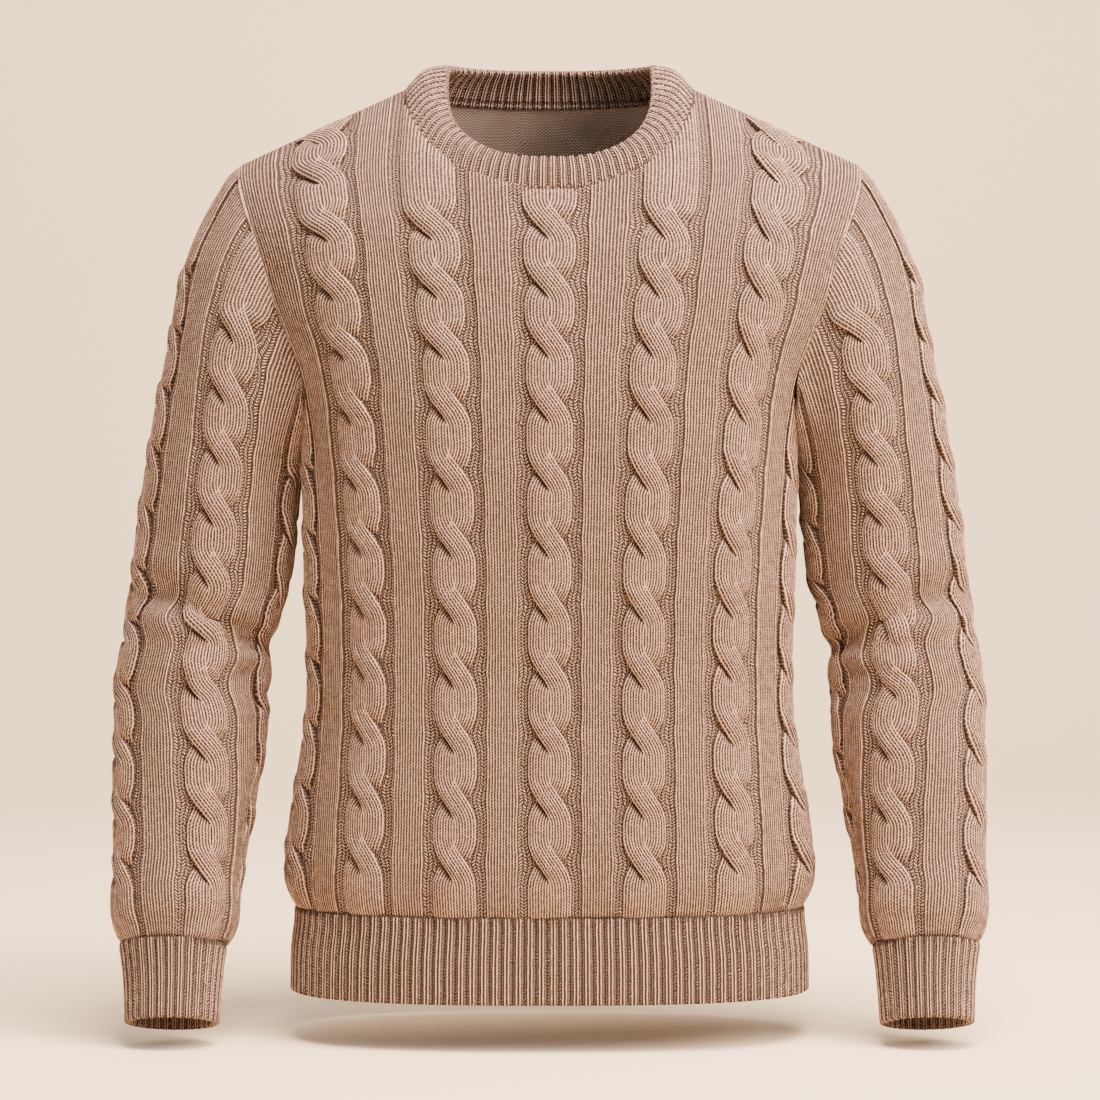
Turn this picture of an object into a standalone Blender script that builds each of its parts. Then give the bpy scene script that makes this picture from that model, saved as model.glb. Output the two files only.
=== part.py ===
"""Cable knit sweater in its worn, hollow form.

Eight pieces of knitted cloth, as a maker joins them: front, back, two sleeves, neckband, hem rib
and two cuffs.  Each piece is one closed wall that stays clear of its neighbours at the seams.
Metres, +Z up, the front towards -Y, the wearer's left towards +X, and the origin midway between
the two neck points, where the shoulder seams meet the neckband.

Places on the cloth are given by wale and height: a wale is a knitted column, named by its flat
distance from the middle of its panel, so that the cloth stretches and gathers but stays knitted.
"""
import bisect
import math
from collections import namedtuple
from functools import lru_cache

import bmesh
import bpy
import numpy as np
from mathutils import Vector

# ---------------------------------------------------------------------------------------------
# Driving dimensions
# ---------------------------------------------------------------------------------------------
CLOTH = 0.003                 # thickness of the knitted panels
BAND_CLOTH = 0.005            # thickness of the neckband, which is knitted double
SEAM_GAP = 0.0003             # clearance between pieces at a seam

SIDE_WALE = 0.2765            # flat half width of a body panel at its side seam
ARMHOLE_WALE = 0.211          # flat half width of a body panel above the armhole's curve
ARMHOLE_CURVE_TOP = -0.215    # height at which the armhole's edge starts to curve outwards
ARMPIT_HEIGHT = -0.263
ARMHOLE_MIDDLE = -0.16        # height of the middle of the armhole

NECK_HALF_WIDTH = 0.1094
SHOULDER_TIP = 0.2380         # how far out the shoulder seam reaches
SHOULDER_SLOPE = 0.46         # fall of the shoulder seam for each metre outwards
SHOULDER_ROUNDNESS = 1.6      # power of the curve over the shoulder, 2 for a quarter ellipse
NECK_ROUND = 0.110            # height over which the shoulder rounds, beside the neck
TIP_ROUND = 0.075             # the same at the shoulder's tip

HEM_SEAM = -0.627
HEM_BOTTOM = -0.6895

NECK_STEPS = 16               # panel columns across the neckline
SHOULDER_STEPS = 5            # panel columns along each shoulder seam
UNDERARM_STEPS = 4            # panel columns under each armhole
CHEST_ROWS = 7                # panel rows above the armhole's curve
HEAD_RINGS = 6                # sleeve rings from the armhole to the upper arm
CUFF_STATIONS = 24
HEM_STATIONS = 44
BAND_STATIONS = 2 * NECK_STEPS
RIB_ROWS = 2                  # spans down the hem rib and down a cuff

# One row for each level of the body, from the hem upwards: the half width, the depth of the front
# and of the back from the side seams, and how square the section is (2 is an ellipse).  Above
# the armpit the half width is that of the whole section, which the armhole cuts short.
BodyRow = namedtuple("BodyRow", "height half_width front_depth back_depth squareness")
BODY_ROWS = (
    BodyRow(-0.690, 0.1980, 0.1200, 0.1190, 2.6),
    BodyRow(-0.660, 0.1975, 0.1190, 0.1180, 2.6),
    BodyRow(-0.627, 0.1950, 0.1170, 0.1160, 2.6),
    BodyRow(-0.603, 0.2025, 0.1205, 0.1200, 2.6),
    BodyRow(-0.560, 0.1985, 0.1205, 0.1200, 2.6),
    BodyRow(-0.520, 0.1915, 0.1195, 0.1195, 2.6),
    BodyRow(-0.480, 0.1855, 0.1180, 0.1180, 2.6),
    BodyRow(-0.430, 0.1845, 0.1185, 0.1195, 2.6),
    BodyRow(-0.380, 0.1865, 0.1215, 0.1230, 2.6),
    BodyRow(-0.320, 0.1875, 0.1245, 0.1260, 2.6),
    BodyRow(-0.263, 0.1895, 0.1260, 0.1280, 2.6),
    BodyRow(-0.220, 0.2020, 0.1245, 0.1280, 2.55),
    BodyRow(-0.170, 0.2265, 0.1190, 0.1255, 2.5),
    BodyRow(-0.130, 0.2380, 0.1110, 0.1220, 2.5),
    BodyRow(-0.086, 0.2520, 0.0965, 0.1160, 2.5),
    BodyRow(-0.058, 0.2620, 0.0890, 0.1110, 2.5),
    BodyRow(0.000, 0.2750, 0.0780, 0.1010, 2.5),
    BodyRow(0.030, 0.2800, 0.0720, 0.0950, 2.5),
)

# How far out the wale at the armhole's edge runs, from the hem up to the shoulder's tip and on.
# The wales inside it are spread evenly over the front, and those outside it over the side.
EdgeRow = namedtuple("EdgeRow", "height across")
EDGE_ROWS = (
    EdgeRow(-0.690, 0.1755),
    EdgeRow(-0.627, 0.1748),
    EdgeRow(-0.603, 0.1778),
    EdgeRow(-0.560, 0.1757),
    EdgeRow(-0.520, 0.1727),
    EdgeRow(-0.480, 0.1702),
    EdgeRow(-0.430, 0.1696),
    EdgeRow(-0.380, 0.1710),
    EdgeRow(-0.320, 0.1741),
    EdgeRow(-0.263, 0.1785),
    EdgeRow(-0.220, 0.1868),
    EdgeRow(-0.172, 0.2050),
    EdgeRow(-0.130, 0.2175),
    EdgeRow(-0.083, 0.2335),
    EdgeRow(-0.0592, 0.2380),
    EdgeRow(0.000, 0.2370),
    EdgeRow(0.030, 0.2360),
)

# Heights of the panels' rows below the armhole's curve, as shares of the way up from the hem.
SKIRT_SHARES = (0.0, 0.03, 0.065, 0.12, 0.20, 0.32, 0.45, 0.60, 0.75, 0.88, 1.0)
SKIRT_ROWS = len(SKIRT_SHARES) - 1

# One row for each ring of the left sleeve, from the upper arm down to the seam of the cuff and
# on to the cuff's end: the ring's middle (height, across, back), its half width and half depth,
# how far its front is tipped up, and how far the knitting is turned towards the front.
SleeveRow = namedtuple("SleeveRow", "height across back half_width half_depth tip turn")
SLEEVE_ROWS = (
    SleeveRow(-0.7088, 0.2830, -0.0730, 0.0345, 0.0355, 16.0, 31.0),
    SleeveRow(-0.6800, 0.2832, -0.0650, 0.0362, 0.0370, 16.0, 31.0),
    SleeveRow(-0.6534, 0.2840, -0.0570, 0.0400, 0.0410, 16.0, 31.0),
    SleeveRow(-0.6350, 0.2838, -0.0515, 0.0462, 0.0470, 15.5, 31.0),
    SleeveRow(-0.6050, 0.2835, -0.0430, 0.0468, 0.0490, 15.0, 30.5),
    SleeveRow(-0.5650, 0.2810, -0.0320, 0.0500, 0.0525, 13.5, 28.5),
    SleeveRow(-0.5170, 0.2770, -0.0200, 0.0550, 0.0570, 11.0, 23.5),
    SleeveRow(-0.4700, 0.2745, -0.0100, 0.0572, 0.0600, 7.5, 20.5),
    SleeveRow(-0.4250, 0.2705, -0.0025, 0.0577, 0.0620, 4.0, 18.5),
    SleeveRow(-0.3630, 0.2595, 0.0030, 0.0598, 0.0650, 1.0, 16.0),
    SleeveRow(-0.3015, 0.2520, 0.0030, 0.0588, 0.0675, 0.0, 14.0),
)
SLEEVE_TOP = -0.3015
SLEEVE_SEAM = -0.6534
CUFF_END = -0.7088

# The way the sleeve leaves the armhole: how far it leans out on average, how much more at the
# shoulder's tip and less at the armpit, and how far it bulges forward at the front.
HEAD_OUT = 0.42
HEAD_OUT_SWING = 0.20
HEAD_FORWARD = 0.22

# Heights of the sleeve's rings below the upper arm, closer at the elbow and above the cuff.
SLEEVE_RINGS = (
    -0.345, -0.385, -0.412, -0.430, -0.447, -0.466, -0.495, -0.540, -0.590, -0.622, -0.640,
)

# The largest folds of the left sleeve: height, angle round the sleeve from its outer line
# towards the front, half height, half angle and depth (troughs are negative, ridges positive).
Fold = namedtuple("Fold", "height angle half_height half_angle depth")
SLEEVE_FOLDS = (
    Fold(-0.216, 0.0, 0.050, 50.0, -0.0042),
    Fold(-0.412, 120.0, 0.012, 45.0, 0.0020),
    Fold(-0.430, 140.0, 0.010, 50.0, -0.0050),
    Fold(-0.450, 110.0, 0.012, 40.0, 0.0020),
    Fold(-0.467, 150.0, 0.010, 45.0, -0.0040),
    Fold(-0.418, 30.0, 0.012, 30.0, -0.0030),
    Fold(-0.430, 215.0, 0.014, 40.0, -0.0040),
)

# One row for each place round the neck, from the middle of the front to the middle of the back:
# how far the band leans in from upright, in degrees, and its width.
BandRow = namedtuple("BandRow", "angle lean width")
BAND_ROWS = (
    BandRow(0.0, 21.0, 0.0265),
    BandRow(45.0, 41.0, 0.0268),
    BandRow(90.0, 58.0, 0.0355),
    BandRow(135.0, 40.0, 0.0310),
    BandRow(180.0, 27.0, 0.0290),
)
BAND_FACE_ROWS = 4            # spans up the face of the neckband
BAND_CROWN = 0.0020           # how far the band's face stands proud in the middle

Facing = namedtuple("Facing", "name sign depth_column neck_drop")
FRONT = Facing("front", -1.0, "front_depth", 0.0858)
BACK = Facing("back", 1.0, "back_depth", 0.0050)

KNIT_COLOUR = (0.440, 0.283, 0.211)
RIB_COLOUR = (0.400, 0.254, 0.188)
KNIT_ROUGHNESS = 0.93


# ---------------------------------------------------------------------------------------------
# Reading the tables
# ---------------------------------------------------------------------------------------------
def read(rows, column, place):
    """Value of a column where the rows' first column has this place, on a smooth curve."""
    ordered = sorted(rows)
    keys = [row[0] for row in ordered]
    values = [getattr(row, column) for row in ordered]
    last = len(keys) - 1
    place = min(max(place, keys[0]), keys[last])
    low = min(bisect.bisect_right(keys, place) - 1, last - 1)

    def slope(index):
        before = max(index - 1, 0)
        after = min(index + 1, last)
        return (values[after] - values[before]) / (keys[after] - keys[before])

    span = keys[low + 1] - keys[low]
    t = (place - keys[low]) / span
    rise = t * t * (3.0 - 2.0 * t)
    leave = t * (1.0 - t) ** 2 * span * slope(low)
    arrive = t * t * (t - 1.0) * span * slope(low + 1)
    return values[low] + (values[low + 1] - values[low]) * rise + leave + arrive


@lru_cache(maxsize=None)
def section(height, facing):
    """Half of a body section, from the middle of a panel to its side: across, depth, length."""
    half_width = read(BODY_ROWS, "half_width", height)
    depth = read(BODY_ROWS, facing.depth_column, height)
    power = 2.0 / read(BODY_ROWS, "squareness", height)
    turn = np.linspace(0.0, math.pi / 2.0, 300)
    x = half_width * np.sin(turn) ** power
    y = depth * np.cos(turn).clip(0.0) ** power
    steps = np.hypot(np.diff(x), np.diff(y))
    return x, y, np.concatenate(([0.0], np.cumsum(steps)))


def edge_reach(height, facing):
    """Length round the section from the panel's middle to the wale at the armhole's edge."""
    x, _, length = section(height, facing)
    return float(np.interp(read(EDGE_ROWS, "across", height), x, length))


# ---------------------------------------------------------------------------------------------
# The body's surface
# ---------------------------------------------------------------------------------------------
def ridge_height(across):
    """Height of the shoulder seam, which runs on as a soft arch over the neck opening."""
    across = abs(across)
    if across < NECK_HALF_WIDTH:
        arch = 1.0 - (across / NECK_HALF_WIDTH) ** 2
        return 0.5 * SHOULDER_SLOPE * NECK_HALF_WIDTH * arch
    return SHOULDER_SLOPE * (NECK_HALF_WIDTH - across)


def shoulder_share(across, height):
    """Share of the full depth that the body has where it rounds over the shoulder."""
    out = (abs(across) - NECK_HALF_WIDTH) / (SHOULDER_TIP - NECK_HALF_WIDTH)
    reach = NECK_ROUND + (TIP_ROUND - NECK_ROUND) * min(max(out, 0.0), 1.0)
    fall = min(max((ridge_height(across) - height) / reach, 0.0), 1.0)
    return (1.0 - (1.0 - fall) ** SHOULDER_ROUNDNESS) ** (1.0 / SHOULDER_ROUNDNESS)


def body_point(wale, height, facing):
    """Where a wale of a body panel passes a height."""
    x, y, length = section(height, facing)
    edge = edge_reach(height, facing)
    reach = edge * min(abs(wale) / ARMHOLE_WALE, 1.0)
    outside = max(abs(wale) - ARMHOLE_WALE, 0.0) / (SIDE_WALE - ARMHOLE_WALE)
    reach += (length[-1] - edge) * outside
    across = float(np.interp(reach, length, x))
    depth = float(np.interp(reach, length, y)) * shoulder_share(across, height)
    depth = max(depth, SEAM_GAP / 2.0)
    return Vector((math.copysign(across, wale), facing.sign * depth, height))


def body_wale(across, height, facing):
    """The wale that lies this far from the middle at a height, inside the armhole's edge."""
    x, _, length = section(height, facing)
    reach = float(np.interp(abs(across), x, length))
    return ARMHOLE_WALE * reach / edge_reach(height, facing)


def ridge_of_wale(wale, facing):
    """Height at which a wale reaches the shoulder seam."""
    height = ridge_height(SHOULDER_TIP)
    for _ in range(40):
        height = 0.5 * (height + ridge_height(body_point(wale, height, facing).x))
    return height


def armhole_height(wale):
    """Lower end of the cloth's edge under the arm, where the armhole curves out to the side."""
    out = (SIDE_WALE - abs(wale)) / (SIDE_WALE - ARMHOLE_WALE)
    drop = ARMHOLE_CURVE_TOP - ARMPIT_HEIGHT
    return ARMHOLE_CURVE_TOP - drop * math.sqrt(max(1.0 - out * out, 0.0))


def neck_place(angle, facing):
    """Point of the neck seam at an angle from the middle of its panel, and that point's wale."""
    across = NECK_HALF_WIDTH * math.sin(angle)
    height = -facing.neck_drop * math.cos(angle)
    wale = math.copysign(body_wale(across, height, facing), across)
    return body_point(wale, height, facing), wale, height


def evenly(path, count):
    """Points along a path, at even lengths, both ends included."""
    points = np.array([tuple(point) for point in path])
    steps = np.linalg.norm(np.diff(points, axis=0), axis=1)
    length = np.concatenate(([0.0], np.cumsum(steps)))
    places = np.linspace(0.0, length[-1], count + 1)
    return [Vector(np.interp(at, length, points[:, axis]) for axis in range(3)) for at in places]


def chest_column(wale, top, facing):
    """Points up one wale from the foot of the armhole's curve to the column's top."""
    samples = 60
    heights = (top - (top - ARMHOLE_CURVE_TOP) * (1.0 - i / samples) ** 2 for i in range(samples + 1))
    return evenly([body_point(wale, height, facing) for height in heights], CHEST_ROWS)


def skirt_column(wale, facing):
    """Points up one wale from the hem to the armhole's foot, or to its edge under the arm."""
    top = ARMHOLE_CURVE_TOP
    if abs(wale) > ARMHOLE_WALE:
        top = armhole_height(wale)
    bottom = HEM_SEAM + SEAM_GAP / 2.0
    return [body_point(wale, bottom + (top - bottom) * share, facing) for share in SKIRT_SHARES]


def panel_columns(facing):
    """Every column of a panel, from side seam to side seam, and whether it reaches the top."""
    quarter_turns = [math.pi * (i / NECK_STEPS - 0.5) for i in range(NECK_STEPS + 1)]
    neck = [neck_place(angle, facing)[1:] for angle in quarter_turns]
    edge = neck[-1][0]
    shoulder = [edge + (ARMHOLE_WALE - edge) * i / SHOULDER_STEPS for i in range(1, SHOULDER_STEPS + 1)]
    turns = [math.pi / 2.0 * i / UNDERARM_STEPS for i in range(1, UNDERARM_STEPS + 1)]
    under = [SIDE_WALE - (SIDE_WALE - ARMHOLE_WALE) * math.cos(turn) for turn in turns]
    half = [(wale, ridge_of_wale(wale, facing), True) for wale in shoulder]
    half += [(wale, None, False) for wale in under]
    left = [(-wale, top, whole) for wale, top, whole in reversed(half)]
    return left + [(wale, top, True) for wale, top in neck] + half


@lru_cache(maxsize=None)
def panel_points(facing):
    """The panel's points, column by column, each from the hem upwards."""
    columns = []
    for wale, top, whole in panel_columns(facing):
        points = skirt_column(wale, facing)
        if whole:
            points = points + chest_column(wale, top, facing)[1:]
        columns.append(points)
    return columns


# ---------------------------------------------------------------------------------------------
# The armhole and the sleeve's surface
# ---------------------------------------------------------------------------------------------
def armhole_edge(facing):
    """The left armhole's edge on one panel, from the shoulder's tip to the armpit."""
    columns = panel_points(facing)
    full = columns[-1 - UNDERARM_STEPS]
    down = list(reversed(full[SKIRT_ROWS:]))
    return down + [column[SKIRT_ROWS] for column in columns[-UNDERARM_STEPS:]]


@lru_cache(maxsize=None)
def armhole_loop():
    """The left armhole, once round: down the front, then up the back to where it started."""
    loop = armhole_edge(FRONT) + armhole_edge(BACK)[-2::-1]
    for meeting in (loop[0], loop[len(loop) // 2], loop[-1]):
        meeting.y = 0.0
    loop[-1].xyz = loop[0]
    return loop


def armhole_inward(point):
    """Direction from the armhole's edge towards its middle."""
    return Vector((0.0, -point.y, ARMHOLE_MIDDLE - point.z)).normalized()


@lru_cache(maxsize=None)
def loop_angles():
    """Angle round the sleeve of each point of the armhole: 0 outermost, 90 front, 180 armpit."""
    loop = armhole_loop()
    half = len(loop) // 2
    lengths = [0.0]
    for before, after in zip(loop, loop[1:]):
        lengths.append(lengths[-1] + (after - before).length)
    front = [180.0 * length / lengths[half] for length in lengths[:half]]
    rest = lengths[-1] - lengths[half]
    return front + [180.0 + 180.0 * (length - lengths[half]) / rest for length in lengths[half:]]


def fold_depth(height, angle):
    """How far the sleeve's folds push its surface out."""
    total = 0.0
    for fold in SLEEVE_FOLDS:
        away = (angle - fold.angle + 180.0) % 360.0 - 180.0
        shape = ((height - fold.height) / fold.half_height) ** 2 + (away / fold.half_angle) ** 2
        total += fold.depth * math.exp(-shape)
    return total


def ring_point(height, angle):
    """A point of the left sleeve at a ring's height and an angle round the knitting."""
    turned = math.radians(angle + read(SLEEVE_ROWS, "turn", height))
    tip = math.radians(read(SLEEVE_ROWS, "tip", height))
    swell = fold_depth(height, math.degrees(turned))
    out = (read(SLEEVE_ROWS, "half_width", height) + swell) * math.cos(turned)
    forward = (read(SLEEVE_ROWS, "half_depth", height) + swell) * math.sin(turned)
    return Vector((
        read(SLEEVE_ROWS, "across", height) + out,
        read(SLEEVE_ROWS, "back", height) - forward * math.cos(tip),
        height + forward * math.sin(tip),
    ))


def sleeve_start(point, angle):
    """Place and direction in which the sleeve leaves the armhole's edge."""
    turn = math.radians(angle)
    out = HEAD_OUT + HEAD_OUT_SWING * math.cos(turn)
    forward = HEAD_FORWARD * math.sin(turn)
    down = math.sqrt(1.0 - out * out - forward * forward)
    return point + Vector((1.2 * SEAM_GAP, 0.0, 0.0)), Vector((out, -forward, -down))


def head_point(station, ring):
    """A point of the sleeve's head, between the armhole and the ring round the upper arm."""
    angle = loop_angles()[station]
    start, leave = sleeve_start(armhole_loop()[station], angle)
    end = ring_point(SLEEVE_TOP, angle)
    arrive = (ring_point(SLEEVE_TOP - 0.03, angle) - end).normalized()
    reach = (end - start).length
    t = ring / HEAD_RINGS
    ahead = t * (1.0 - t) ** 2 * reach
    behind = t * t * (t - 1.0) * reach
    rise = t * t * (3.0 - 2.0 * t)
    place = start.lerp(end, rise) + leave * ahead + arrive * behind
    turned = math.radians(angle)
    outward = Vector((math.cos(turned), -math.sin(turned), 0.0))
    return place + outward * (fold_depth(place.z, angle) * min(1.0, 4.0 * t * (1.0 - t)))


# ---------------------------------------------------------------------------------------------
# Meshes
# ---------------------------------------------------------------------------------------------
def placed_grid(columns, rows, place):
    """A grid moved onto a surface: place gives a point, or None where the cloth is cut away."""
    bm = bmesh.new()
    bmesh.ops.create_grid(bm, x_segments=columns, y_segments=rows, size=0.5)
    cut_away = []
    for vert in bm.verts:
        column = round((vert.co.x + 0.5) * columns)
        row = round((vert.co.y + 0.5) * rows)
        point = place(column, row)
        if point is None:
            cut_away.append(vert)
        else:
            vert.co = point
    bmesh.ops.delete(bm, geom=cut_away, context="VERTS")
    bmesh.ops.remove_doubles(bm, verts=bm.verts, dist=1e-6)
    return bm


def thicken(bm, inward):
    """Turn a skin into a wall: a second skin is set in by what inward gives, with rims between."""
    number = bm.verts.layers.int.new("number")
    bm.normal_update()
    shifts = []
    for index, vert in enumerate(bm.verts):
        vert[number] = index
        shifts.append(inward(vert))
    made = bmesh.ops.extrude_face_region(bm, geom=list(bm.faces), use_keep_orig=True)
    for item in made["geom"]:
        if isinstance(item, bmesh.types.BMVert):
            item.co += shifts[item[number]]


def face_outwards(bm):
    """Give a closed piece faces that all point out of its cloth."""
    bmesh.ops.recalc_face_normals(bm, faces=bm.faces)
    if bm.calc_volume(signed=True) < 0.0:
        bmesh.ops.reverse_faces(bm, faces=bm.faces)


def finish(bm, name, material, mirrored=False):
    """Make the object of a piece, mirrored across the body where asked."""
    if mirrored:
        for vert in bm.verts:
            vert.co.x = -vert.co.x
    bmesh.ops.triangulate(bm, faces=bm.faces)
    face_outwards(bm)
    mesh = bpy.data.meshes.new(name)
    bm.to_mesh(mesh)
    bm.free()
    mesh.materials.append(material)
    mesh.shade_smooth()
    mesh.set_sharp_from_angle(angle=math.radians(50.0))
    piece = bpy.data.objects.new(name, mesh)
    bpy.context.collection.objects.link(piece)
    return piece


def knit_material(name, colour):
    """Matt wool, in the colour of one kind of knitting."""
    material = bpy.data.materials.new(name)
    material.use_nodes = True
    shader = material.node_tree.nodes["Principled BSDF"]
    shader.inputs["Base Color"].default_value = (*colour, 1.0)
    shader.inputs["Roughness"].default_value = KNIT_ROUGHNESS
    shader.inputs["Metallic"].default_value = 0.0
    return material


# ---------------------------------------------------------------------------------------------
# The pieces
# ---------------------------------------------------------------------------------------------
def on_armhole(point, facing):
    """Whether a point is on either armhole's edge of a panel."""
    left = Vector((abs(point.x), point.y, point.z))
    return min((left - edge).length for edge in armhole_edge(facing)) < 1e-5


def panel_inward(vert, facing):
    """How a panel's inner skin is set in: along the seams it stays in the seam's own plane."""
    point = vert.co
    if on_armhole(point, facing):
        return armhole_inward(point) * CLOTH
    inward = vert.normal * CLOTH
    if inward.y * facing.sign > 0.0:
        inward = -inward
    if abs(point.y) < SEAM_GAP:
        inward.y = 0.0
        inward = inward.normalized() * CLOTH
    if abs(point.z - HEM_SEAM) < SEAM_GAP:
        inward.z = 0.0
    return inward


def make_panel(facing, material):
    """The front or the back, in one piece from the hem to the neck and shoulder seams."""
    columns = panel_points(facing)

    def place(column, row):
        points = columns[column]
        return points[row] if row < len(points) else None

    bm = placed_grid(len(columns) - 1, SKIRT_ROWS + CHEST_ROWS, place)
    thicken(bm, lambda vert: panel_inward(vert, facing))
    return finish(bm, facing.name, material)


def make_sleeve(name, material, mirrored):
    """A set-in sleeve: its head from the armhole to the upper arm, then rings to the cuff."""
    stations = len(armhole_loop()) - 1
    angles = loop_angles()
    rings = list(SLEEVE_RINGS)

    def place(column, row):
        if row <= HEAD_RINGS:
            return head_point(column, row)
        if row - HEAD_RINGS <= len(rings):
            return ring_point(rings[row - HEAD_RINGS - 1], angles[column])
        seam = ring_point(SLEEVE_SEAM, angles[column])
        return seam + Vector((0.0, 0.0, 1.5 * SEAM_GAP))

    bm = placed_grid(stations, HEAD_RINGS + len(rings) + 1, place)
    edge = [sleeve_start(point, 0.0)[0] for point in armhole_loop()]
    seam = [place(column, HEAD_RINGS + len(rings) + 1) for column in range(stations)]

    def inward(vert):
        if min((vert.co - point).length for point in edge) < 1e-5:
            return armhole_inward(vert.co) * CLOTH
        if min((vert.co - point).length for point in seam) < 1e-5:
            middle = sum(seam, Vector()) / len(seam)
            return (middle - vert.co).normalized() * CLOTH
        across = read(SLEEVE_ROWS, "across", max(vert.co.z, SLEEVE_SEAM))
        centre = Vector((across, read(SLEEVE_ROWS, "back", vert.co.z), vert.co.z - 0.02))
        way = vert.normal * CLOTH
        return way if way.dot(centre - vert.co) > 0.0 else -way

    thicken(bm, inward)
    return finish(bm, name, material, mirrored)


def make_cuff(name, material, mirrored):
    """A ribbed cuff, from the sleeve's seam to its open end."""
    def place(column, row):
        height = SLEEVE_SEAM + (CUFF_END - SLEEVE_SEAM) * row / RIB_ROWS
        return ring_point(height, 360.0 * column / CUFF_STATIONS)

    bm = placed_grid(CUFF_STATIONS, RIB_ROWS, place)

    def inward(vert):
        tip = math.radians(read(SLEEVE_ROWS, "tip", vert.co.z))
        along = Vector((0.0, -math.sin(tip), -math.cos(tip)))
        way = vert.normal - along * vert.normal.dot(along)
        axis = Vector((read(SLEEVE_ROWS, "across", vert.co.z), read(SLEEVE_ROWS, "back", vert.co.z), 0.0))
        outward = Vector((vert.co.x, vert.co.y, 0.0)) - axis
        way = way.normalized() * CLOTH
        return -way if way.dot(outward) > 0.0 else way

    thicken(bm, inward)
    return finish(bm, name, material, mirrored)


def hem_point(share, height):
    """A point of the hem rib, once round from the middle of the front."""
    half = share % 1.0
    facing = BACK if 0.25 < half < 0.75 else FRONT
    flat = half if facing is FRONT else half - 0.5
    if facing is FRONT and half > 0.5:
        flat = half - 1.0
    x, y, length = section(height, facing)
    reach = abs(flat) * 4.0 * length[-1]
    sideways = math.copysign(float(np.interp(reach, length, x)), flat * -facing.sign)
    return Vector((sideways, facing.sign * float(np.interp(reach, length, y)), height))


def make_hem_rib(material):
    """The ribbed band round the bottom, one tube below both panels."""
    top = HEM_SEAM - SEAM_GAP / 2.0

    def place(column, row):
        height = top + (HEM_BOTTOM - top) * row / RIB_ROWS
        return hem_point(column / HEM_STATIONS, height)

    def inward(vert):
        way = Vector((vert.normal.x, vert.normal.y, 0.0)).normalized() * CLOTH
        return -way if way.x * vert.co.x + way.y * vert.co.y > 0.0 else way

    bm = placed_grid(HEM_STATIONS, RIB_ROWS, place)
    thicken(bm, inward)
    return finish(bm, "hem_rib", material)


def band_station(station):
    """The neck seam at a station, its inward way, the band's way up and the band's width."""
    turn = 2.0 * math.pi * station / BAND_STATIONS
    around = math.degrees(math.acos(math.cos(turn)))
    facing = FRONT if around <= 90.0 else BACK
    angle = math.asin(math.sin(turn))
    seam = neck_place(angle, facing)[0]
    inside = Vector((-math.sin(turn), math.cos(turn), 0.0))
    lean = math.radians(read(BAND_ROWS, "lean", around))
    up = Vector((0.0, 0.0, math.cos(lean))) + inside * math.sin(lean)
    inward = inside * math.cos(lean) - Vector((0.0, 0.0, math.sin(lean)))
    return seam, inward, up, read(BAND_ROWS, "width", around)


def make_neckband(material):
    """The double neckband: up its outer face, over its rounded fold and down its inner face."""
    fold_steps = 4
    face = [(i / BAND_FACE_ROWS, 0.0) for i in range(BAND_FACE_ROWS + 1)]
    fold = [(1.0, i / fold_steps) for i in range(1, fold_steps)]
    profile = face + fold + [(share, 1.0) for share, _ in reversed(face)]

    def place(column, row):
        seam, inward, up, width = band_station(column)
        share, across = profile[row % len(profile)]
        crown = BAND_CROWN * math.sin(math.pi * share) * (1.0 - 2.0 * across)
        half = BAND_CLOTH / 2.0
        turn = math.pi * across
        over = up * (half * math.sin(turn))
        depth = inward * (half - half * math.cos(turn) - crown)
        rise = 2.0 * SEAM_GAP + (width - half - 2.0 * SEAM_GAP) * share
        return seam + up * rise + over + depth

    bm = placed_grid(BAND_STATIONS, len(profile), place)
    return finish(bm, "neckband", material)


def main():
    for item in list(bpy.data.objects):
        bpy.data.objects.remove(item)
    knit = knit_material("cable_knit", KNIT_COLOUR)
    rib = knit_material("rib_knit", RIB_COLOUR)
    make_panel(FRONT, knit)
    make_panel(BACK, knit)
    make_sleeve("sleeve_left", knit, mirrored=False)
    make_sleeve("sleeve_right", knit, mirrored=True)
    make_neckband(rib)
    make_hem_rib(rib)
    make_cuff("cuff_left", rib, mirrored=False)
    make_cuff("cuff_right", rib, mirrored=True)


main()
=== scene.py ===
"""Cable knit sweater: its knitting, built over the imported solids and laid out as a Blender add-on.

The cloth is placed by wale and height.  A wale is a knitted column, named by its flat distance
from the middle of its panel, and every piece follows the surface of the solid it stands for.
Lengths are in metres and angles in the tables in degrees.
"""

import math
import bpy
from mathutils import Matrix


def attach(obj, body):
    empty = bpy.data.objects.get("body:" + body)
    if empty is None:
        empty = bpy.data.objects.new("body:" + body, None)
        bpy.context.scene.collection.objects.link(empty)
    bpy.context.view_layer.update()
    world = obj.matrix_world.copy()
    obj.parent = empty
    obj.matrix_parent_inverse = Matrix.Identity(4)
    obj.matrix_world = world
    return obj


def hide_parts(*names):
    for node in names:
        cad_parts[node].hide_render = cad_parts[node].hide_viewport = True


bl_info = {
    "name": "Cable knit sweater",
    "version": (1, 0, 0),
    "blender": (4, 5, 0),
    "location": "View3D > Sidebar > Sweater",
    "description": "Knits a hollow crew-neck sweater with rope cables and ribbed edges",
    "category": "Object",
}

from collections import namedtuple
from functools import lru_cache

import bmesh
import bpy
import numpy as np
from mathutils import Vector

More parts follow.
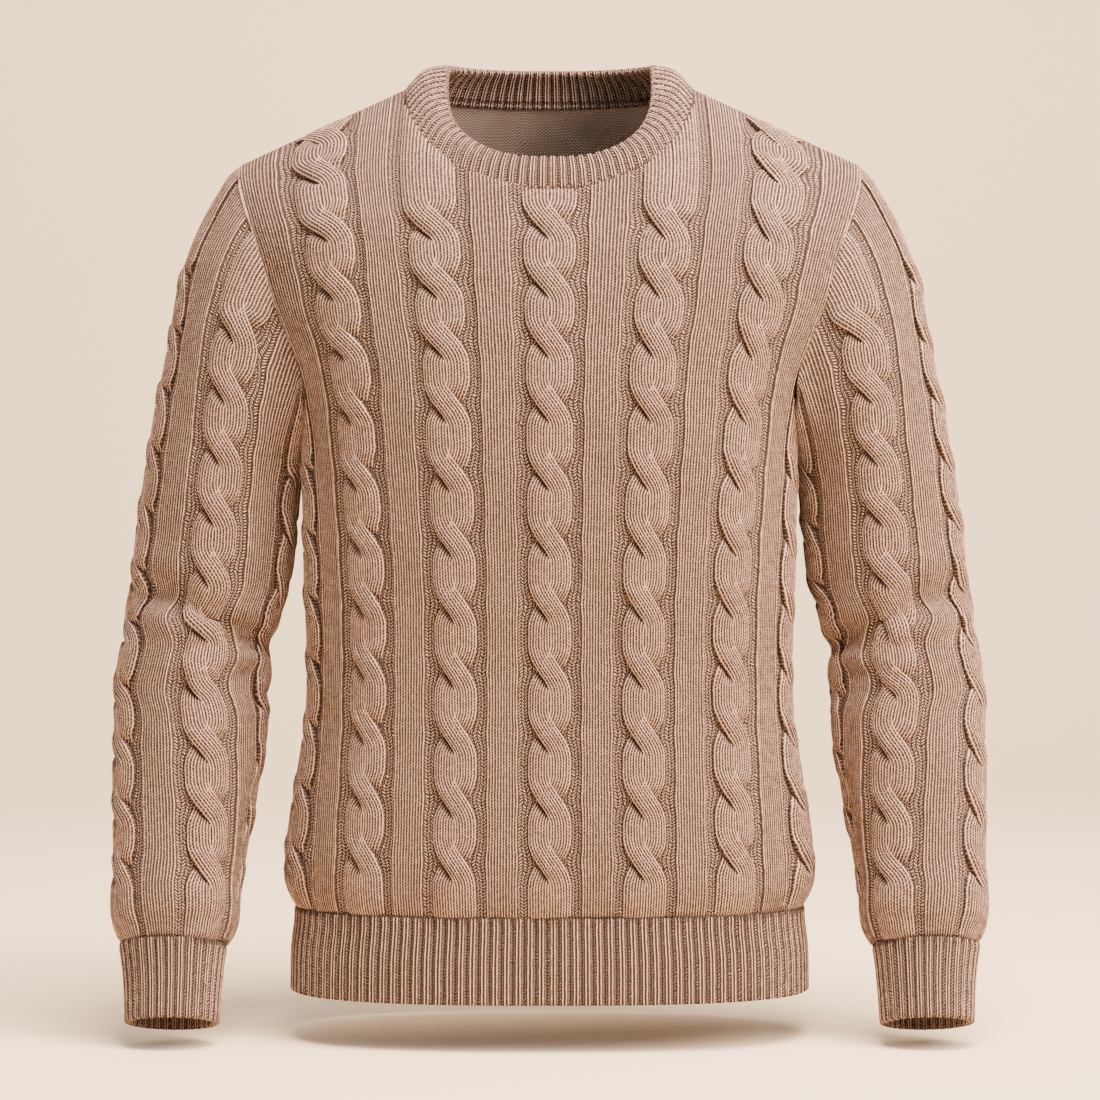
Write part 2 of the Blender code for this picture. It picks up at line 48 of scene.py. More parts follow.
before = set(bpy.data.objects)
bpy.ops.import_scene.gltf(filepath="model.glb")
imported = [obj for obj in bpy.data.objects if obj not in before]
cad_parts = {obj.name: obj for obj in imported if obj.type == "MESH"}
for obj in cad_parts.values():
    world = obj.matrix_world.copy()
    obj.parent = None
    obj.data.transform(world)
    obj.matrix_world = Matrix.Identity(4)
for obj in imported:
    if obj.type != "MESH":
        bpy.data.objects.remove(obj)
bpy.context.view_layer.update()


def table(fields, *rows):
    """Rows of values named by their columns."""
    kind = namedtuple("Row", fields)
    return tuple(kind(*row) for row in rows)


# ---- The body ---------------------------------------------------------------------------------
SEAM_GAP = 0.0003
SIDE_WALE = 0.2765            # flat half width of a body panel at its side seam
ARMHOLE_WALE = 0.211          # flat half width of a body panel above the armhole's curve
ARMHOLE_CURVE_TOP = -0.215    # height at which the armhole's edge starts to curve outwards
ARMPIT_HEIGHT = -0.263
NECK_HALF_WIDTH = 0.1094
SHOULDER_TIP = 0.2380         # how far out the shoulder seam reaches
SHOULDER_SLOPE = 0.46         # fall of the shoulder seam for each metre outwards
SHOULDER_ROUNDNESS = 1.6
NECK_ROUND = 0.110            # height over which the shoulder rounds, beside the neck
TIP_ROUND = 0.075             # the same at the shoulder's tip
DRIFT = 0.0090                # how far the outer cables drift inwards towards the shoulders
DRIFT_START = 0.095           # flat half width beyond which the cloth drifts
DRIFT_FOOT = -0.22            # heights between which it does
DRIFT_TOP = -0.09
HEM_SEAM = -0.627
HEM_BOTTOM = -0.6895
HEM_SQUARENESS = 2.6
HEM_EVEN_WIDTH = 0.196        # half sizes of the section round which the hem's ribs stand evenly
HEM_EVEN_DEPTH = 0.118
PANEL_FOOT = HEM_SEAM + SEAM_GAP / 2.0

BODY_ROWS = table(
    "height half_width front_depth back_depth squareness",
    (-0.690, 0.1980, 0.1200, 0.1190, 2.6),
    (-0.660, 0.1975, 0.1190, 0.1180, 2.6),
    (-0.627, 0.1950, 0.1170, 0.1160, 2.6),
    (-0.603, 0.2025, 0.1205, 0.1200, 2.6),
    (-0.560, 0.1985, 0.1205, 0.1200, 2.6),
    (-0.520, 0.1915, 0.1195, 0.1195, 2.6),
    (-0.480, 0.1855, 0.1180, 0.1180, 2.6),
    (-0.430, 0.1845, 0.1185, 0.1195, 2.6),
    (-0.380, 0.1865, 0.1215, 0.1230, 2.6),
    (-0.320, 0.1875, 0.1245, 0.1260, 2.6),
    (-0.263, 0.1895, 0.1260, 0.1280, 2.6),
    (-0.220, 0.2020, 0.1245, 0.1280, 2.55),
    (-0.170, 0.2265, 0.1190, 0.1255, 2.5),
    (-0.130, 0.2380, 0.1110, 0.1220, 2.5),
    (-0.086, 0.2520, 0.0965, 0.1160, 2.5),
    (-0.058, 0.2620, 0.0890, 0.1110, 2.5),
    (0.000, 0.2750, 0.0780, 0.1010, 2.5),
    (0.030, 0.2800, 0.0720, 0.0950, 2.5),
)

# How far out the wale of the armhole's edge runs.
EDGE_ROWS = table(
    "height across",
    (-0.690, 0.1755), (-0.627, 0.1748), (-0.603, 0.1778), (-0.560, 0.1757), (-0.520, 0.1727),
    (-0.480, 0.1702), (-0.430, 0.1696), (-0.380, 0.1710), (-0.320, 0.1741), (-0.263, 0.1785),
    (-0.220, 0.1868), (-0.172, 0.2050), (-0.130, 0.2175), (-0.083, 0.2335), (-0.0592, 0.2380),
    (0.000, 0.2370), (0.030, 0.2360),
)

FRONT, BACK = table(
    "name sign depth_column neck_drop",
    ("front", -1.0, "front_depth", 0.0858),
    ("back", 1.0, "back_depth", 0.0050),
)

# Soft dips of the body.
BODY_DIPS = table(
    "facing wale height half_width half_height depth",
    (FRONT, -0.196, -0.345, 0.012, 0.075, 0.0030),
    (FRONT, 0.196, -0.340, 0.012, 0.070, 0.0026),
    (BACK, -0.190, -0.350, 0.014, 0.080, 0.0030),
    (BACK, 0.194, -0.340, 0.013, 0.070, 0.0028),
    (BACK, 0.020, -0.400, 0.050, 0.030, 0.0030),
    (BACK, -0.040, -0.470, 0.055, 0.024, 0.0026),
)
SLOW_WAVES = 0.0008           # height of the waves of hand-washed cloth
QUICK_WAVES = 0.0004
WAVES_TOP = -0.02             # height at which they die away
WAVES_FADE = 0.06

# ---- The sleeve -------------------------------------------------------------------------------
SLEEVE_TOP = -0.3015
SLEEVE_SEAM = -0.6534
CUFF_END = -0.7088
HEAD_TURN = 14.0              # turn of the head's lines where they reach the upper arm
HEAD_OUT = 0.42               # how the head's cloth leaves the armhole
HEAD_OUT_SWING = 0.20
HEAD_FORWARD = 0.22
HEAD_LENGTH = 0.20
HEAD_GAP = 1.2 * SEAM_GAP     # how far the head stands off the armhole
HEAD_AHEAD = 0.03             # length down the arm that gives the head's lines their direction
SLEEVE_HALF = 0.1975          # flat half width of the sleeve's cloth
SLEEVE_EVEN = 0.118           # wales nearer the middle than this keep their width down the arm
GATHER_HALF = 0.150           # half girth below which the cloth gathers towards the cuff
CREASE_FADE = 0.1             # levels over which creases die away towards the armhole

SLEEVE_ROWS = table(
    "height across back half_width half_depth tip",
    (-0.7088, 0.2830, -0.0730, 0.0345, 0.0355, 16.0),
    (-0.6800, 0.2832, -0.0650, 0.0362, 0.0370, 16.0),
    (-0.6534, 0.2840, -0.0570, 0.0400, 0.0410, 16.0),
    (-0.6350, 0.2838, -0.0515, 0.0462, 0.0470, 15.5),
    (-0.6050, 0.2835, -0.0430, 0.0468, 0.0490, 15.0),
    (-0.5650, 0.2810, -0.0320, 0.0500, 0.0525, 13.5),
    (-0.5170, 0.2770, -0.0200, 0.0550, 0.0570, 11.0),
    (-0.4700, 0.2745, -0.0100, 0.0572, 0.0600, 7.5),
    (-0.4250, 0.2705, -0.0025, 0.0577, 0.0620, 4.0),
    (-0.3630, 0.2595, 0.0030, 0.0598, 0.0650, 1.0),
    (-0.3015, 0.2520, 0.0030, 0.0588, 0.0675, 0.0),
)

# How far the knitting is turned towards the front, down the sleeve.
TURN_ROWS = table(
    "height turn",
    (-0.3015, 22.0), (-0.3500, 22.5), (-0.4300, 27.4), (-0.5050, 30.2), (-0.5780, 33.6),
    (-0.6000, 35.0), (-0.6534, 35.0),
)

# Where the bent arm pushes the knitting sideways.
SWAYS = table(
    "height half_height turn",
    (-0.4060, 0.0140, -6.5), (-0.4300, 0.0100, 1.5), (-0.4660, 0.0150, -5.0), (-0.6150, 0.0200, -2.5),
)

# Creases pressed into a sleeve: wale, distance from the cuff, half length across the wales,
# half width up them, climb for each metre across, and depth (ridges are negative).
SLEEVE_CREASES = table(
    "wale up half_across half_up climb depth",
    (0.038, 0.262, 0.034, 0.0120, -0.25, 0.0088),
    (0.080, 0.247, 0.030, 0.0110, -0.40, 0.0050),
    (0.120, 0.242, 0.030, 0.0112, -0.15, 0.0086),
    (0.116, 0.208, 0.026, 0.0105, 0.20, 0.0076),
    (0.124, 0.225, 0.026, 0.0085, 0.00, -0.0022),
    (0.046, 0.238, 0.030, 0.0100, -0.20, -0.0024),
    (-0.050, 0.236, 0.032, 0.0110, 0.30, 0.0060),
    (-0.105, 0.222, 0.034, 0.0110, -0.20, 0.0072),
    (0.060, 0.284, 0.050, 0.0120, -0.25, -0.0020),
    (0.119, 0.455, 0.011, 0.0450, 0.00, 0.0042),
    (0.148, 0.430, 0.010, 0.0400, 0.00, -0.0020),
    (-0.122, 0.440, 0.012, 0.0450, 0.00, 0.0040),
    (0.070, 0.013, 0.030, 0.0075, 0.15, 0.0026),
    (0.012, 0.010, 0.022, 0.0070, 0.00, 0.0016),
    (-0.080, 0.014, 0.030, 0.0080, -0.10, 0.0026),
    (0.060, 0.036, 0.050, 0.0130, 0.00, -0.0016),
)

# Folds that the solid has too.
SLEEVE_FOLDS = table(
    "height angle half_height half_angle depth",
    (-0.216, 0.0, 0.050, 50.0, -0.0042),
    (-0.412, 120.0, 0.012, 45.0, 0.0020),
    (-0.430, 140.0, 0.010, 50.0, -0.0050),
    (-0.450, 110.0, 0.012, 40.0, 0.0020),
    (-0.467, 150.0, 0.010, 45.0, -0.0040),
    (-0.418, 30.0, 0.012, 30.0, -0.0030),
    (-0.430, 215.0, 0.014, 40.0, -0.0040),
)

# Which wale of the sleeve meets the armhole at each angle round it.
HEAD_WALES = table(
    "angle wale",
    (0.0, 0.0), (15.0, 0.0225), (49.0, 0.0605), (92.0, 0.0975), (129.0, 0.1280), (180.0, 0.1975),
)

# ---- The neckband -----------------------------------------------------------------------------
BAND_ROWS = table(
    "angle lean width",
    (0.0, 21.0, 0.0265),
    (45.0, 41.0, 0.0268),
    (90.0, 58.0, 0.0355),
    (135.0, 40.0, 0.0310),
    (180.0, 27.0, 0.0290),
)
BAND_THICKNESS = 0.005
BAND_OVERLAP = 0.0020         # how far the linked edge reaches down over the panels
BAND_CROWN = 0.0020           # how round the band's face is
BAND_SIDE_CROWN = 0.0026      # how much rounder it is beside the neck

# ---- The knitting -----------------------------------------------------------------------------
KNIT, PURL, REVERSE = range(3)

CABLE_SPACING = 0.079
CABLE_HALF = 0.0185
GUTTER = 0.008                # purl ground between a cable and a plain panel
PANEL_EDGE = CABLE_HALF + GUTTER
PANEL_WALES = 11
WALE = (CABLE_SPACING - 2.0 * PANEL_EDGE) / PANEL_WALES
PURL_WALES = 10               # purl wales from a cable's middle to the edge of its gutter
PURL_WALE = PANEL_EDGE / PURL_WALES
ROW = 0.00225                 # height of one knitted row

BODY_CABLES = (-3, -2, -1, 0, 1, 2, 3)
SLEEVE_CABLES = (-2, -1, 0, 1, 2)

# Heights at which the body's cables cross, from the top down.
BODY_CROSSINGS = (
    -0.1134, -0.1568, -0.2010, -0.2480, -0.2980, -0.3473, -0.3952, -0.4437, -0.4915, -0.5393, -0.5857,
)
SHOULDER_CROSSINGS = (-0.0400, -0.0705)    # further ones on the cables that end on the shoulders
BACK_CROSSINGS = (-0.0345, -0.0722)        # further ones on the back, whose neckline is higher
OUTER_SHIFT = 0.0048          # how much higher the outer cables cross, near the hem
OUTER_SHIFT_TOP = -0.30       # height below which they do, and the height it takes
OUTER_SHIFT_REACH = 0.15
SLEEVE_FIRST_CROSSING = 0.054  # lowest crossing's distance from the cuff
SLEEVE_CROSSING_STEP = 0.0462
SLEEVE_CROSSING_COUNT = 11

# Levels over the solid's surface.
INSIDE = 0.0040               # how far the inner face of a wall lies under it
BED = -0.0026                 # the ground under a cable
GUTTER_LEVEL = -0.0022
GUTTER_EDGE_LEVEL = -0.0011
RIDGE_LEVEL = 0.0003
VALLEY_LEVEL = -0.0001
EDGE_RIDGE = 0.0007           # how much further the wale at a panel's edge stands out
BED_PLACES = (0.0, 0.0100, 0.0140, 0.0168)
GUTTER_STEP = 0.002
# Painted shade on the sunken purl ground.
PURL_SHADE = 0.82
EDGE_SHADE = 1.22             # painted light on the raised wale at a panel's edge, and painted shade in the dark line beside it
EDGE_FOOT_SHADE = 0.80

PINCH = 0.0046                # how far the ground is drawn in where a cable crosses
PINCH_REACH = 0.0085
PINCH_CLEAR = 0.020           # length below a seam over which the ground is drawn in less
PULL_AWAY = (0.0, 0.0168, CABLE_HALF, 0.0225, PANEL_EDGE, 0.031, 0.0395)
PULL_SHARE = (0.0, 0.95, 1.0, 0.62, 0.24, 0.10, 0.0)

FOOT_ROUND = 0.009            # length over which the cloth rounds in to the rib below
FOOT_LEVEL = -0.0010
FOOT_LIP = 0.0008             # how far the body's cloth blouses out over its rib, and the sleeves'
SLEEVE_LIP = 0.00032
LIP_AT = 0.012
LIP_HALF = 0.009
TOP_SETTLE = 0.014            # length over which the relief dies away towards the neck and shoulders
SEAM_SETTLE = 0.006           # the same towards an armhole
SEAM_STEPS = (0.0, 0.0012, 0.0024, 0.0038, 0.0055)  # rows of the grid beside an armhole
SEAM_ROWS = 3                 # how many of them its linked ridge takes
SEAM_LEVEL = -0.0004
SEAM_RIDGE = 0.0012           # the linked ridge along an armhole, and where it runs
SEAM_RIDGE_AT = 0.0018
SEAM_RIDGE_HALF = 0.0012
# Painted shade over the linked ridge, deepest along its last row at the seam.
SEAM_SHADE = 0.84
SEAM_END_SHADE = 0.50
YOKE_FOOT = -0.24             # heights between which the wales grow rounder towards the shoulders
YOKE_TOP = -0.12
YOKE_RELIEF = 0.0003
HEAD_STEPS = 34
WHOLE_MARGIN = 0.0008         # wales this far beyond the armhole's still reach the shoulder
SIDE_STUB = 0.01              # length above the armhole over which cut wales are laid out

STRAND_HALF = CABLE_HALF / 2.0
STRAND_WALES = 8
STRAND_HEIGHT = 0.0057        # how far a cable stands over its bed
STRAND_RIDGE = 0.00026
STRAND_UNDER = 0.0006         # how far its under side lies below the bed
STRAND_ROUNDNESS = 2.6
STRAND_STEP = 0.0030          # length of one span of a strand
CROSS_LENGTH = 0.0370         # length over which a strand moves from one side to the other
DEEP_HOLD = 0.0065            # half length over which the strands part fully, below the upper one
DEEP_REACH = 0.0165           # half length over which they part at all
SOFT_HOLD = 0.0015            # the same above it, where it only presses on the other
SOFT_REACH = 0.0100
SOFT_SHARE = 0.75
CREASE_REACH = 0.0085         # how far from the upper strand's edge the lower one starts to dive
CREASE_OVERHANG = 0.0008
# Painted shade where the lower strand dives under the upper one.
CREASE_SHADE = 0.85
LIFT = 0.0015
SINK = 0.0058
NARROW = 0.05                 # share of its width that a strand loses at a crossing
STRAND_LIGHT = 0.08           # how much lighter a strand is, as painted light, and its rounded edges further, as a painted highlight
STRAND_EDGE_LIGHT = 0.20
END_FADE = 0.016              # length over which a cable sinks towards a seam
END_HEIGHT = 0.58             # share of its height that it keeps there
FOOT_FADE = 0.015             # length over which it rounds into the rib below
FOOT_HEIGHT = 0.30
FOOT_CLEAR = 0.012            # length above the rib in which no cable crosses
SHOULDER_CALM = 0.060         # length over which crossings grow flatter towards the shoulders
BEYOND = 0.040                # length by which a strand runs on past its middle's end
CABLE_MARGIN = 0.0003         # how far past its edge a cable's dome still rises

# One repeat of the rib: how far round it, level, wale and shade, which above 1 is painted light on the knit
# crests and below 1 painted shade beside and between them and in the purl valleys.
RIB_COLUMNS = (
    (0.00, 0.45, 0.00, 0.92),
    (0.15, 1.00, 0.50, 1.15),
    (0.30, 0.15, 1.00, 0.60),
    (0.45, 1.00, 1.50, 1.15),
    (0.60, 0.45, 2.00, 0.92),
    (0.70, -0.90, 2.67, 0.46),
    (0.80, -0.80, 3.00, 0.64),
    (0.90, -0.90, 3.33, 0.46),
)
RIB_KNIT_COLUMNS = 4
RIB_WALES = 4.0               # wales of one repeat

# Softness takes painted shade and light from a rib; seam says where its linked ridge runs.
HEM_RIB, CUFF_RIB, BAND_RIB = table(
    "length thickness relief rows softness seam loops flat",
    (HEM_SEAM - HEM_BOTTOM, 0.003, 0.0012, 18, 0.0, 0.0, 0.0, (1.020, 0.0622)),
    (SLEEVE_SEAM - CUFF_END, 0.003, 0.0012, 16, 0.18, 0.0, 0.0, (0.232, 0.0554)),
    (0.027, BAND_THICKNESS, 0.0011, 12, 0.12, 0.02, 1.0, (0.540, 0.058)),
)
INNER_SHARES = (1.0, 0.9, 0.8, 0.7, 0.6, 0.5, 0.4, 0.3, 0.25, 0.21, 0.18, 0.15, 0.11, 0.05, 0.0)
INNER_CONTRAST = 0.60         # share of a rib's painted shade and light that its inner face keeps
LINKED_HALF = 0.035           # half width of the linked ridge, as a share of the rib's length
LINKED_HEIGHT = 0.0003
LOOPS_AT = 0.18               # where the row of loops runs that closes a double band inside
LOOPS_HALF = 0.03
LOOPS_HEIGHT = 0.0008
# Painted shade along the row of loops, in its groove.
LOOPS_SHADE = 0.55
RELIEF_START = 0.004          # share of a rib's length after which its relief begins, and rises
RELIEF_RISE = 0.03
RELIEF_ROUND_EDGE = 0.3       # share of its relief that shows in the length of a rib

# ---- The stage --------------------------------------------------------------------------------
MIDDLE = (0.0, 0.0, -0.35)
LIGHTS = table(
    "name place target size power colour",
    ("key", (2.2, -1.6, 1.2), MIDDLE, 1.8, 226.0, (1.0, 0.81, 0.69)),
    ("top", (0.4, -0.95, 2.1), MIDDLE, 1.6, 304.0, (1.0, 0.80, 0.67)),
    ("paper_light", (0.0, 1.4, 2.0), (0.0, 3.9, 0.0), 2.4, 90.0, (1.0, 0.81, 0.69)),
)
SKY_COLOUR = (0.80, 0.92, 1.05, 1.0)
SKY_STRENGTH = 0.55
# Painted light: the paper glows by itself in this colour, standing in for lamplight on it.
PAPER_GLOW = (1.0, 0.80, 0.62, 1.0)
PAPER_WIDTH = 14.0
PAPER_FRONT = -3.5
PAPER_BACK = 3.9
PAPER_RADIUS = 1.2            # radius of the bend between the floor and the backdrop
PAPER_HEIGHT = 3.2
PAPER_ROWS = 48
CAMERA_ASIDE = 0.0003


# ---- Reading the tables -----------------------------------------------------------------------
def curve(rows, column, place):
    """Values of a column at places along the rows' first column, on a smooth curve."""
    ordered = sorted(rows)
    keys = np.array([row[0] for row in ordered])
    values = np.array([getattr(row, column) for row in ordered])
    count = len(keys)
    after = np.minimum(np.arange(count) + 1, count - 1)
    before = np.maximum(np.arange(count) - 1, 0)
    slopes = (values[after] - values[before]) / (keys[after] - keys[before])
    place = np.clip(place, keys[0], keys[-1])
    low = np.clip(np.searchsorted(keys, place, side="right") - 1, 0, count - 2)
    span = keys[low + 1] - keys[low]
    t = (place - keys[low]) / span
    rise = t * t * (3.0 - 2.0 * t)
    leave = t * (1.0 - t) ** 2 * span * slopes[low]
    arrive = t * t * (t - 1.0) * span * slopes[low + 1]
    return values[low] + (values[low + 1] - values[low]) * rise + leave + arrive


def smooth(x):
    """Smooth step from 0 to 1."""
    x = np.clip(x, 0.0, 1.0)
    return x * x * (3.0 - 2.0 * x)


def rounding(x):
    """Quarter round from 0 to 1."""
    return np.sqrt(1.0 - (1.0 - np.clip(x, 0.0, 1.0)) ** 2)


def swell(x, middle, half):
    """Soft bump of height one."""
    return np.exp(-((x - middle) / half) ** 2)


def between(values, rows, row, columns, column):
    """Values of an even grid between its rows and columns."""
    r = np.clip((row - rows[0]) / (rows[1] - rows[0]), 0.0, len(rows) - 1.001)
    c = np.clip((column - columns[0]) / (columns[1] - columns[0]), 0.0, len(columns) - 1.001)
    r0 = r.astype(int)
    c0 = c.astype(int)
    fr = r - r0
    fc = c - c0
    if values.ndim == 3:
        fr = fr[..., None]
        fc = fc[..., None]
    upper = values[r0 + 1, c0] * (1.0 - fc) + values[r0 + 1, c0 + 1] * fc
    lower = values[r0, c0] * (1.0 - fc) + values[r0, c0 + 1] * fc
    return lower * (1.0 - fr) + upper * fr


def lengths(points):
    """Length along each line of points, which run along the first axis."""
    steps = np.linalg.norm(np.diff(points, axis=0), axis=-1)
    start = np.zeros((1,) + steps.shape[1:])
    return np.concatenate((start, np.cumsum(steps, axis=0)))


def unit(vectors):
    """Vectors of length one."""
    return vectors / np.maximum(np.linalg.norm(vectors, axis=-1, keepdims=True), 1e-12)


# ---- Surfaces: a cloth places its points by wale and by how far up they are --------------------
def ridge_height(across):
    """Height of the shoulder seam, which runs on as a soft arch over the neck opening."""
    across = np.abs(across)
    arch = 0.5 * SHOULDER_SLOPE * NECK_HALF_WIDTH * (1.0 - (across / NECK_HALF_WIDTH) ** 2)
    return np.where(across < NECK_HALF_WIDTH, arch, SHOULDER_SLOPE * (NECK_HALF_WIDTH - across))


def shoulder_share(across, height):
    """Share of the full depth that the body has where it rounds over the shoulder."""
    out = (np.abs(across) - NECK_HALF_WIDTH) / (SHOULDER_TIP - NECK_HALF_WIDTH)
    reach = NECK_ROUND + (TIP_ROUND - NECK_ROUND) * np.clip(out, 0.0, 1.0)
    fall = np.clip((ridge_height(across) - height) / reach, 0.0, 1.0)
    return (1.0 - (1.0 - fall) ** SHOULDER_ROUNDNESS) ** (1.0 / SHOULDER_ROUNDNESS)


def armhole_height(wale):
    """Lower end of the cloth's edge under the arm, where the armhole curves out to the side."""
    out = (SIDE_WALE - np.abs(wale)) / (SIDE_WALE - ARMHOLE_WALE)
    drop = ARMHOLE_CURVE_TOP - ARMPIT_HEIGHT
    return ARMHOLE_CURVE_TOP - drop * np.sqrt(np.clip(1.0 - out * out, 0.0, 1.0))


def unevenness(across, up):
    """Slight, slow unevenness of hand-washed cloth, from crossed waves."""
    slow = np.sin(58.0 * across + 2.0 * np.sin(19.0 * up))
    slow = slow * np.sin(41.0 * up + 1.7 * np.sin(27.0 * across))
    quick = np.sin(131.0 * across + 1.0 + 1.5 * np.sin(37.0 * up)) * np.sin(97.0 * up + 0.6)
    return SLOW_WAVES * slow + QUICK_WAVES * quick


def body_dip(facing, wale, height):
    """How far the body's soft folds lie under its full surface."""
    total = unevenness(wale + 0.3 * facing.sign, height) * smooth((WAVES_TOP - height) / WAVES_FADE)
    for dip in BODY_DIPS:
        if dip.facing is facing:
            away = ((wale - dip.wale) / dip.half_width) ** 2
            away = away + ((height - dip.height) / dip.half_height) ** 2
            total = total + dip.depth * np.exp(-away)
    return total


class Body:
    """The front's or the back's surface, by wale and height."""

    step = 0.0006                 # small step up the cloth
    clear_top = 0.020             # length below the cloth's top in which no cable crosses
    foot = PANEL_FOOT             # where the cloth starts

    def __init__(self, facing):
        self.facing = facing
        self.right = 1.0 if facing is FRONT else -1.0
        self.heights = np.linspace(-0.700, 0.030, 366)
        self.wales = np.linspace(0.0, SIDE_WALE, 278)
        power = 2.0 / curve(BODY_ROWS, "squareness", self.heights)
        half_width = curve(BODY_ROWS, "half_width", self.heights)
        depth = curve(BODY_ROWS, facing.depth_column, self.heights)
        edge = curve(EDGE_ROWS, "across", self.heights)
        turn = np.linspace(0.0, math.pi / 2.0, 400)
        self.across = np.empty((len(self.heights), len(self.wales)))
        self.depth = np.empty_like(self.across)
        outside = np.clip(self.wales - ARMHOLE_WALE, 0.0, None) / (SIDE_WALE - ARMHOLE_WALE)
        inside = np.minimum(self.wales / ARMHOLE_WALE, 1.0)
        beside = np.clip((self.wales - DRIFT_START) / (ARMHOLE_WALE - DRIFT_START), 0.0, 1.0)
        drift = DRIFT * np.sin(math.pi * beside) ** 2
        climbed = smooth((self.heights - DRIFT_FOOT) / (DRIFT_TOP - DRIFT_FOOT))
        for level in range(len(self.heights)):
            x = half_width[level] * np.sin(turn) ** power[level]
            y = depth[level] * np.clip(np.cos(turn), 0.0, 1.0) ** power[level]
            length = lengths(np.stack((x, y), axis=-1))
            edge_reach = np.interp(edge[level], x, length)
            reach = edge_reach * inside + (length[-1] - edge_reach) * outside - climbed[level] * drift
            self.across[level] = np.interp(reach, length, x)
            self.depth[level] = np.interp(reach, length, y)

    def place(self, wale, height):
        """Points of the surface."""
        wale, height = np.broadcast_arrays(wale, height)
        across = between(self.across, self.heights, height, self.wales, np.abs(wale))
        depth = between(self.depth, self.heights, height, self.wales, np.abs(wale))
        depth = np.maximum(depth * shoulder_share(across, height), SEAM_GAP / 2.0)
        depth = depth - body_dip(self.facing, wale, height)
        return np.stack((np.sign(wale) * across, self.facing.sign * depth, height), axis=-1)

    def neck_line(self, count=90):
        """The neck seam from the middle to the neck point: wales and heights."""
        angle = np.linspace(0.0, math.pi / 2.0, count)
        height = -self.facing.neck_drop * np.cos(angle)
        across = NECK_HALF_WIDTH * np.sin(angle)
        level = (height - self.heights[0]) / (self.heights[1] - self.heights[0])
        wale = [np.interp(a, self.across[int(round(r))], self.wales) for a, r in zip(across, level)]
        return np.array(wale), height

    @lru_cache(maxsize=None)
    def tops(self):
        """Height of the neck seam or the shoulder seam, at even wales."""
        wale = np.linspace(0.0, SIDE_WALE, 1000)
        height = np.full_like(wale, -0.05)
        for _ in range(40):
            height = 0.5 * (height + ridge_height(self.place(wale, height)[..., 0]))
        neck_wale, neck_height = self.neck_line()
        under_neck = wale < neck_wale[-1]
        height[under_neck] = np.interp(wale[under_neck], neck_wale, neck_height)
        return wale, height

    def top(self, wale):
        """Height at which the cloth ends on these wales."""
        out = np.abs(wale)
        return np.where(out > ARMHOLE_WALE, armhole_height(out), np.interp(out, *self.tops()))

    def crossings(self, cable):
        """Heights at which a cable crosses."""
        heights = np.array(BODY_CROSSINGS)
        if abs(cable) == 2:
            shift = np.clip((heights - OUTER_SHIFT_TOP) / OUTER_SHIFT_REACH, -1.0, 0.0)
            heights = np.concatenate((SHOULDER_CROSSINGS, heights - OUTER_SHIFT * shift))
        elif self.facing is BACK and abs(cable) < 2:
            heights = np.concatenate((BACK_CROSSINGS, heights))
        return heights


@lru_cache(maxsize=None)
def body(facing):
    """The front's or the back's surface."""
    return Body(facing)


@lru_cache(maxsize=None)
def armhole():
    """The left armhole, once round from the shoulder's tip down the front: angles and points."""
    def side(cloth):
        straight = np.linspace(cloth.top(ARMHOLE_WALE), ARMHOLE_CURVE_TOP, 60)
        turn = np.linspace(0.0, math.pi / 2.0, 40)[1:]
        wale = SIDE_WALE - (SIDE_WALE - ARMHOLE_WALE) * np.cos(turn)
        wales = np.concatenate((np.full(60, ARMHOLE_WALE), wale))
        heights = np.concatenate((straight, armhole_height(wale)))
        points = cloth.place(wales, heights)
        points[[0, -1], 1] = 0.0
        return points

    front = side(body(FRONT))
    back = side(body(BACK))[::-1]
    front_length = lengths(front)
    back_length = lengths(back)
    front_angle = 180.0 * front_length / front_length[-1]
    back_angle = 180.0 + 180.0 * back_length / back_length[-1]
    return np.concatenate((front_angle, back_angle[1:])), np.concatenate((front, back[1:]))


def armhole_point(angle):
    """Points of the armhole's edge at angles round it."""
    angles, points = armhole()
    around = np.mod(angle, 360.0)
    return np.stack([np.interp(around, angles, points[:, axis]) for axis in range(3)], axis=-1)


def fold_depth(height, angle):
    """How far the sleeve's folds push its surface out."""
    total = np.zeros(np.broadcast(height, angle).shape)
    for fold in SLEEVE_FOLDS:
        away = (angle - fold.angle + 180.0) % 360.0 - 180.0
        shape = ((height - fold.height) / fold.half_height) ** 2 + (away / fold.half_angle) ** 2
        total = total + fold.depth * np.exp(-shape)
    return total


def ring_out(height, angle):
    """The way out of the left sleeve, square to its ring, at an angle."""
    turned = np.radians(angle)
    tip = np.radians(curve(SLEEVE_ROWS, "tip", height))
    forward = np.sin(turned)
    return np.stack((np.cos(turned), -forward * np.cos(tip), forward * np.sin(tip)), axis=-1)


def ring_point(height, angle):
    """Points of the left sleeve at a ring's height and an angle round it."""
    across, back, half_width, half_depth = (
        curve(SLEEVE_ROWS, column, height) for column in ("across", "back", "half_width", "half_depth")
    )
    fold = fold_depth(height, angle)
    size = np.stack((half_width + fold, half_depth + fold, half_depth + fold), axis=-1)
    return np.stack((across, back, height), axis=-1) + size * ring_out(height, angle)


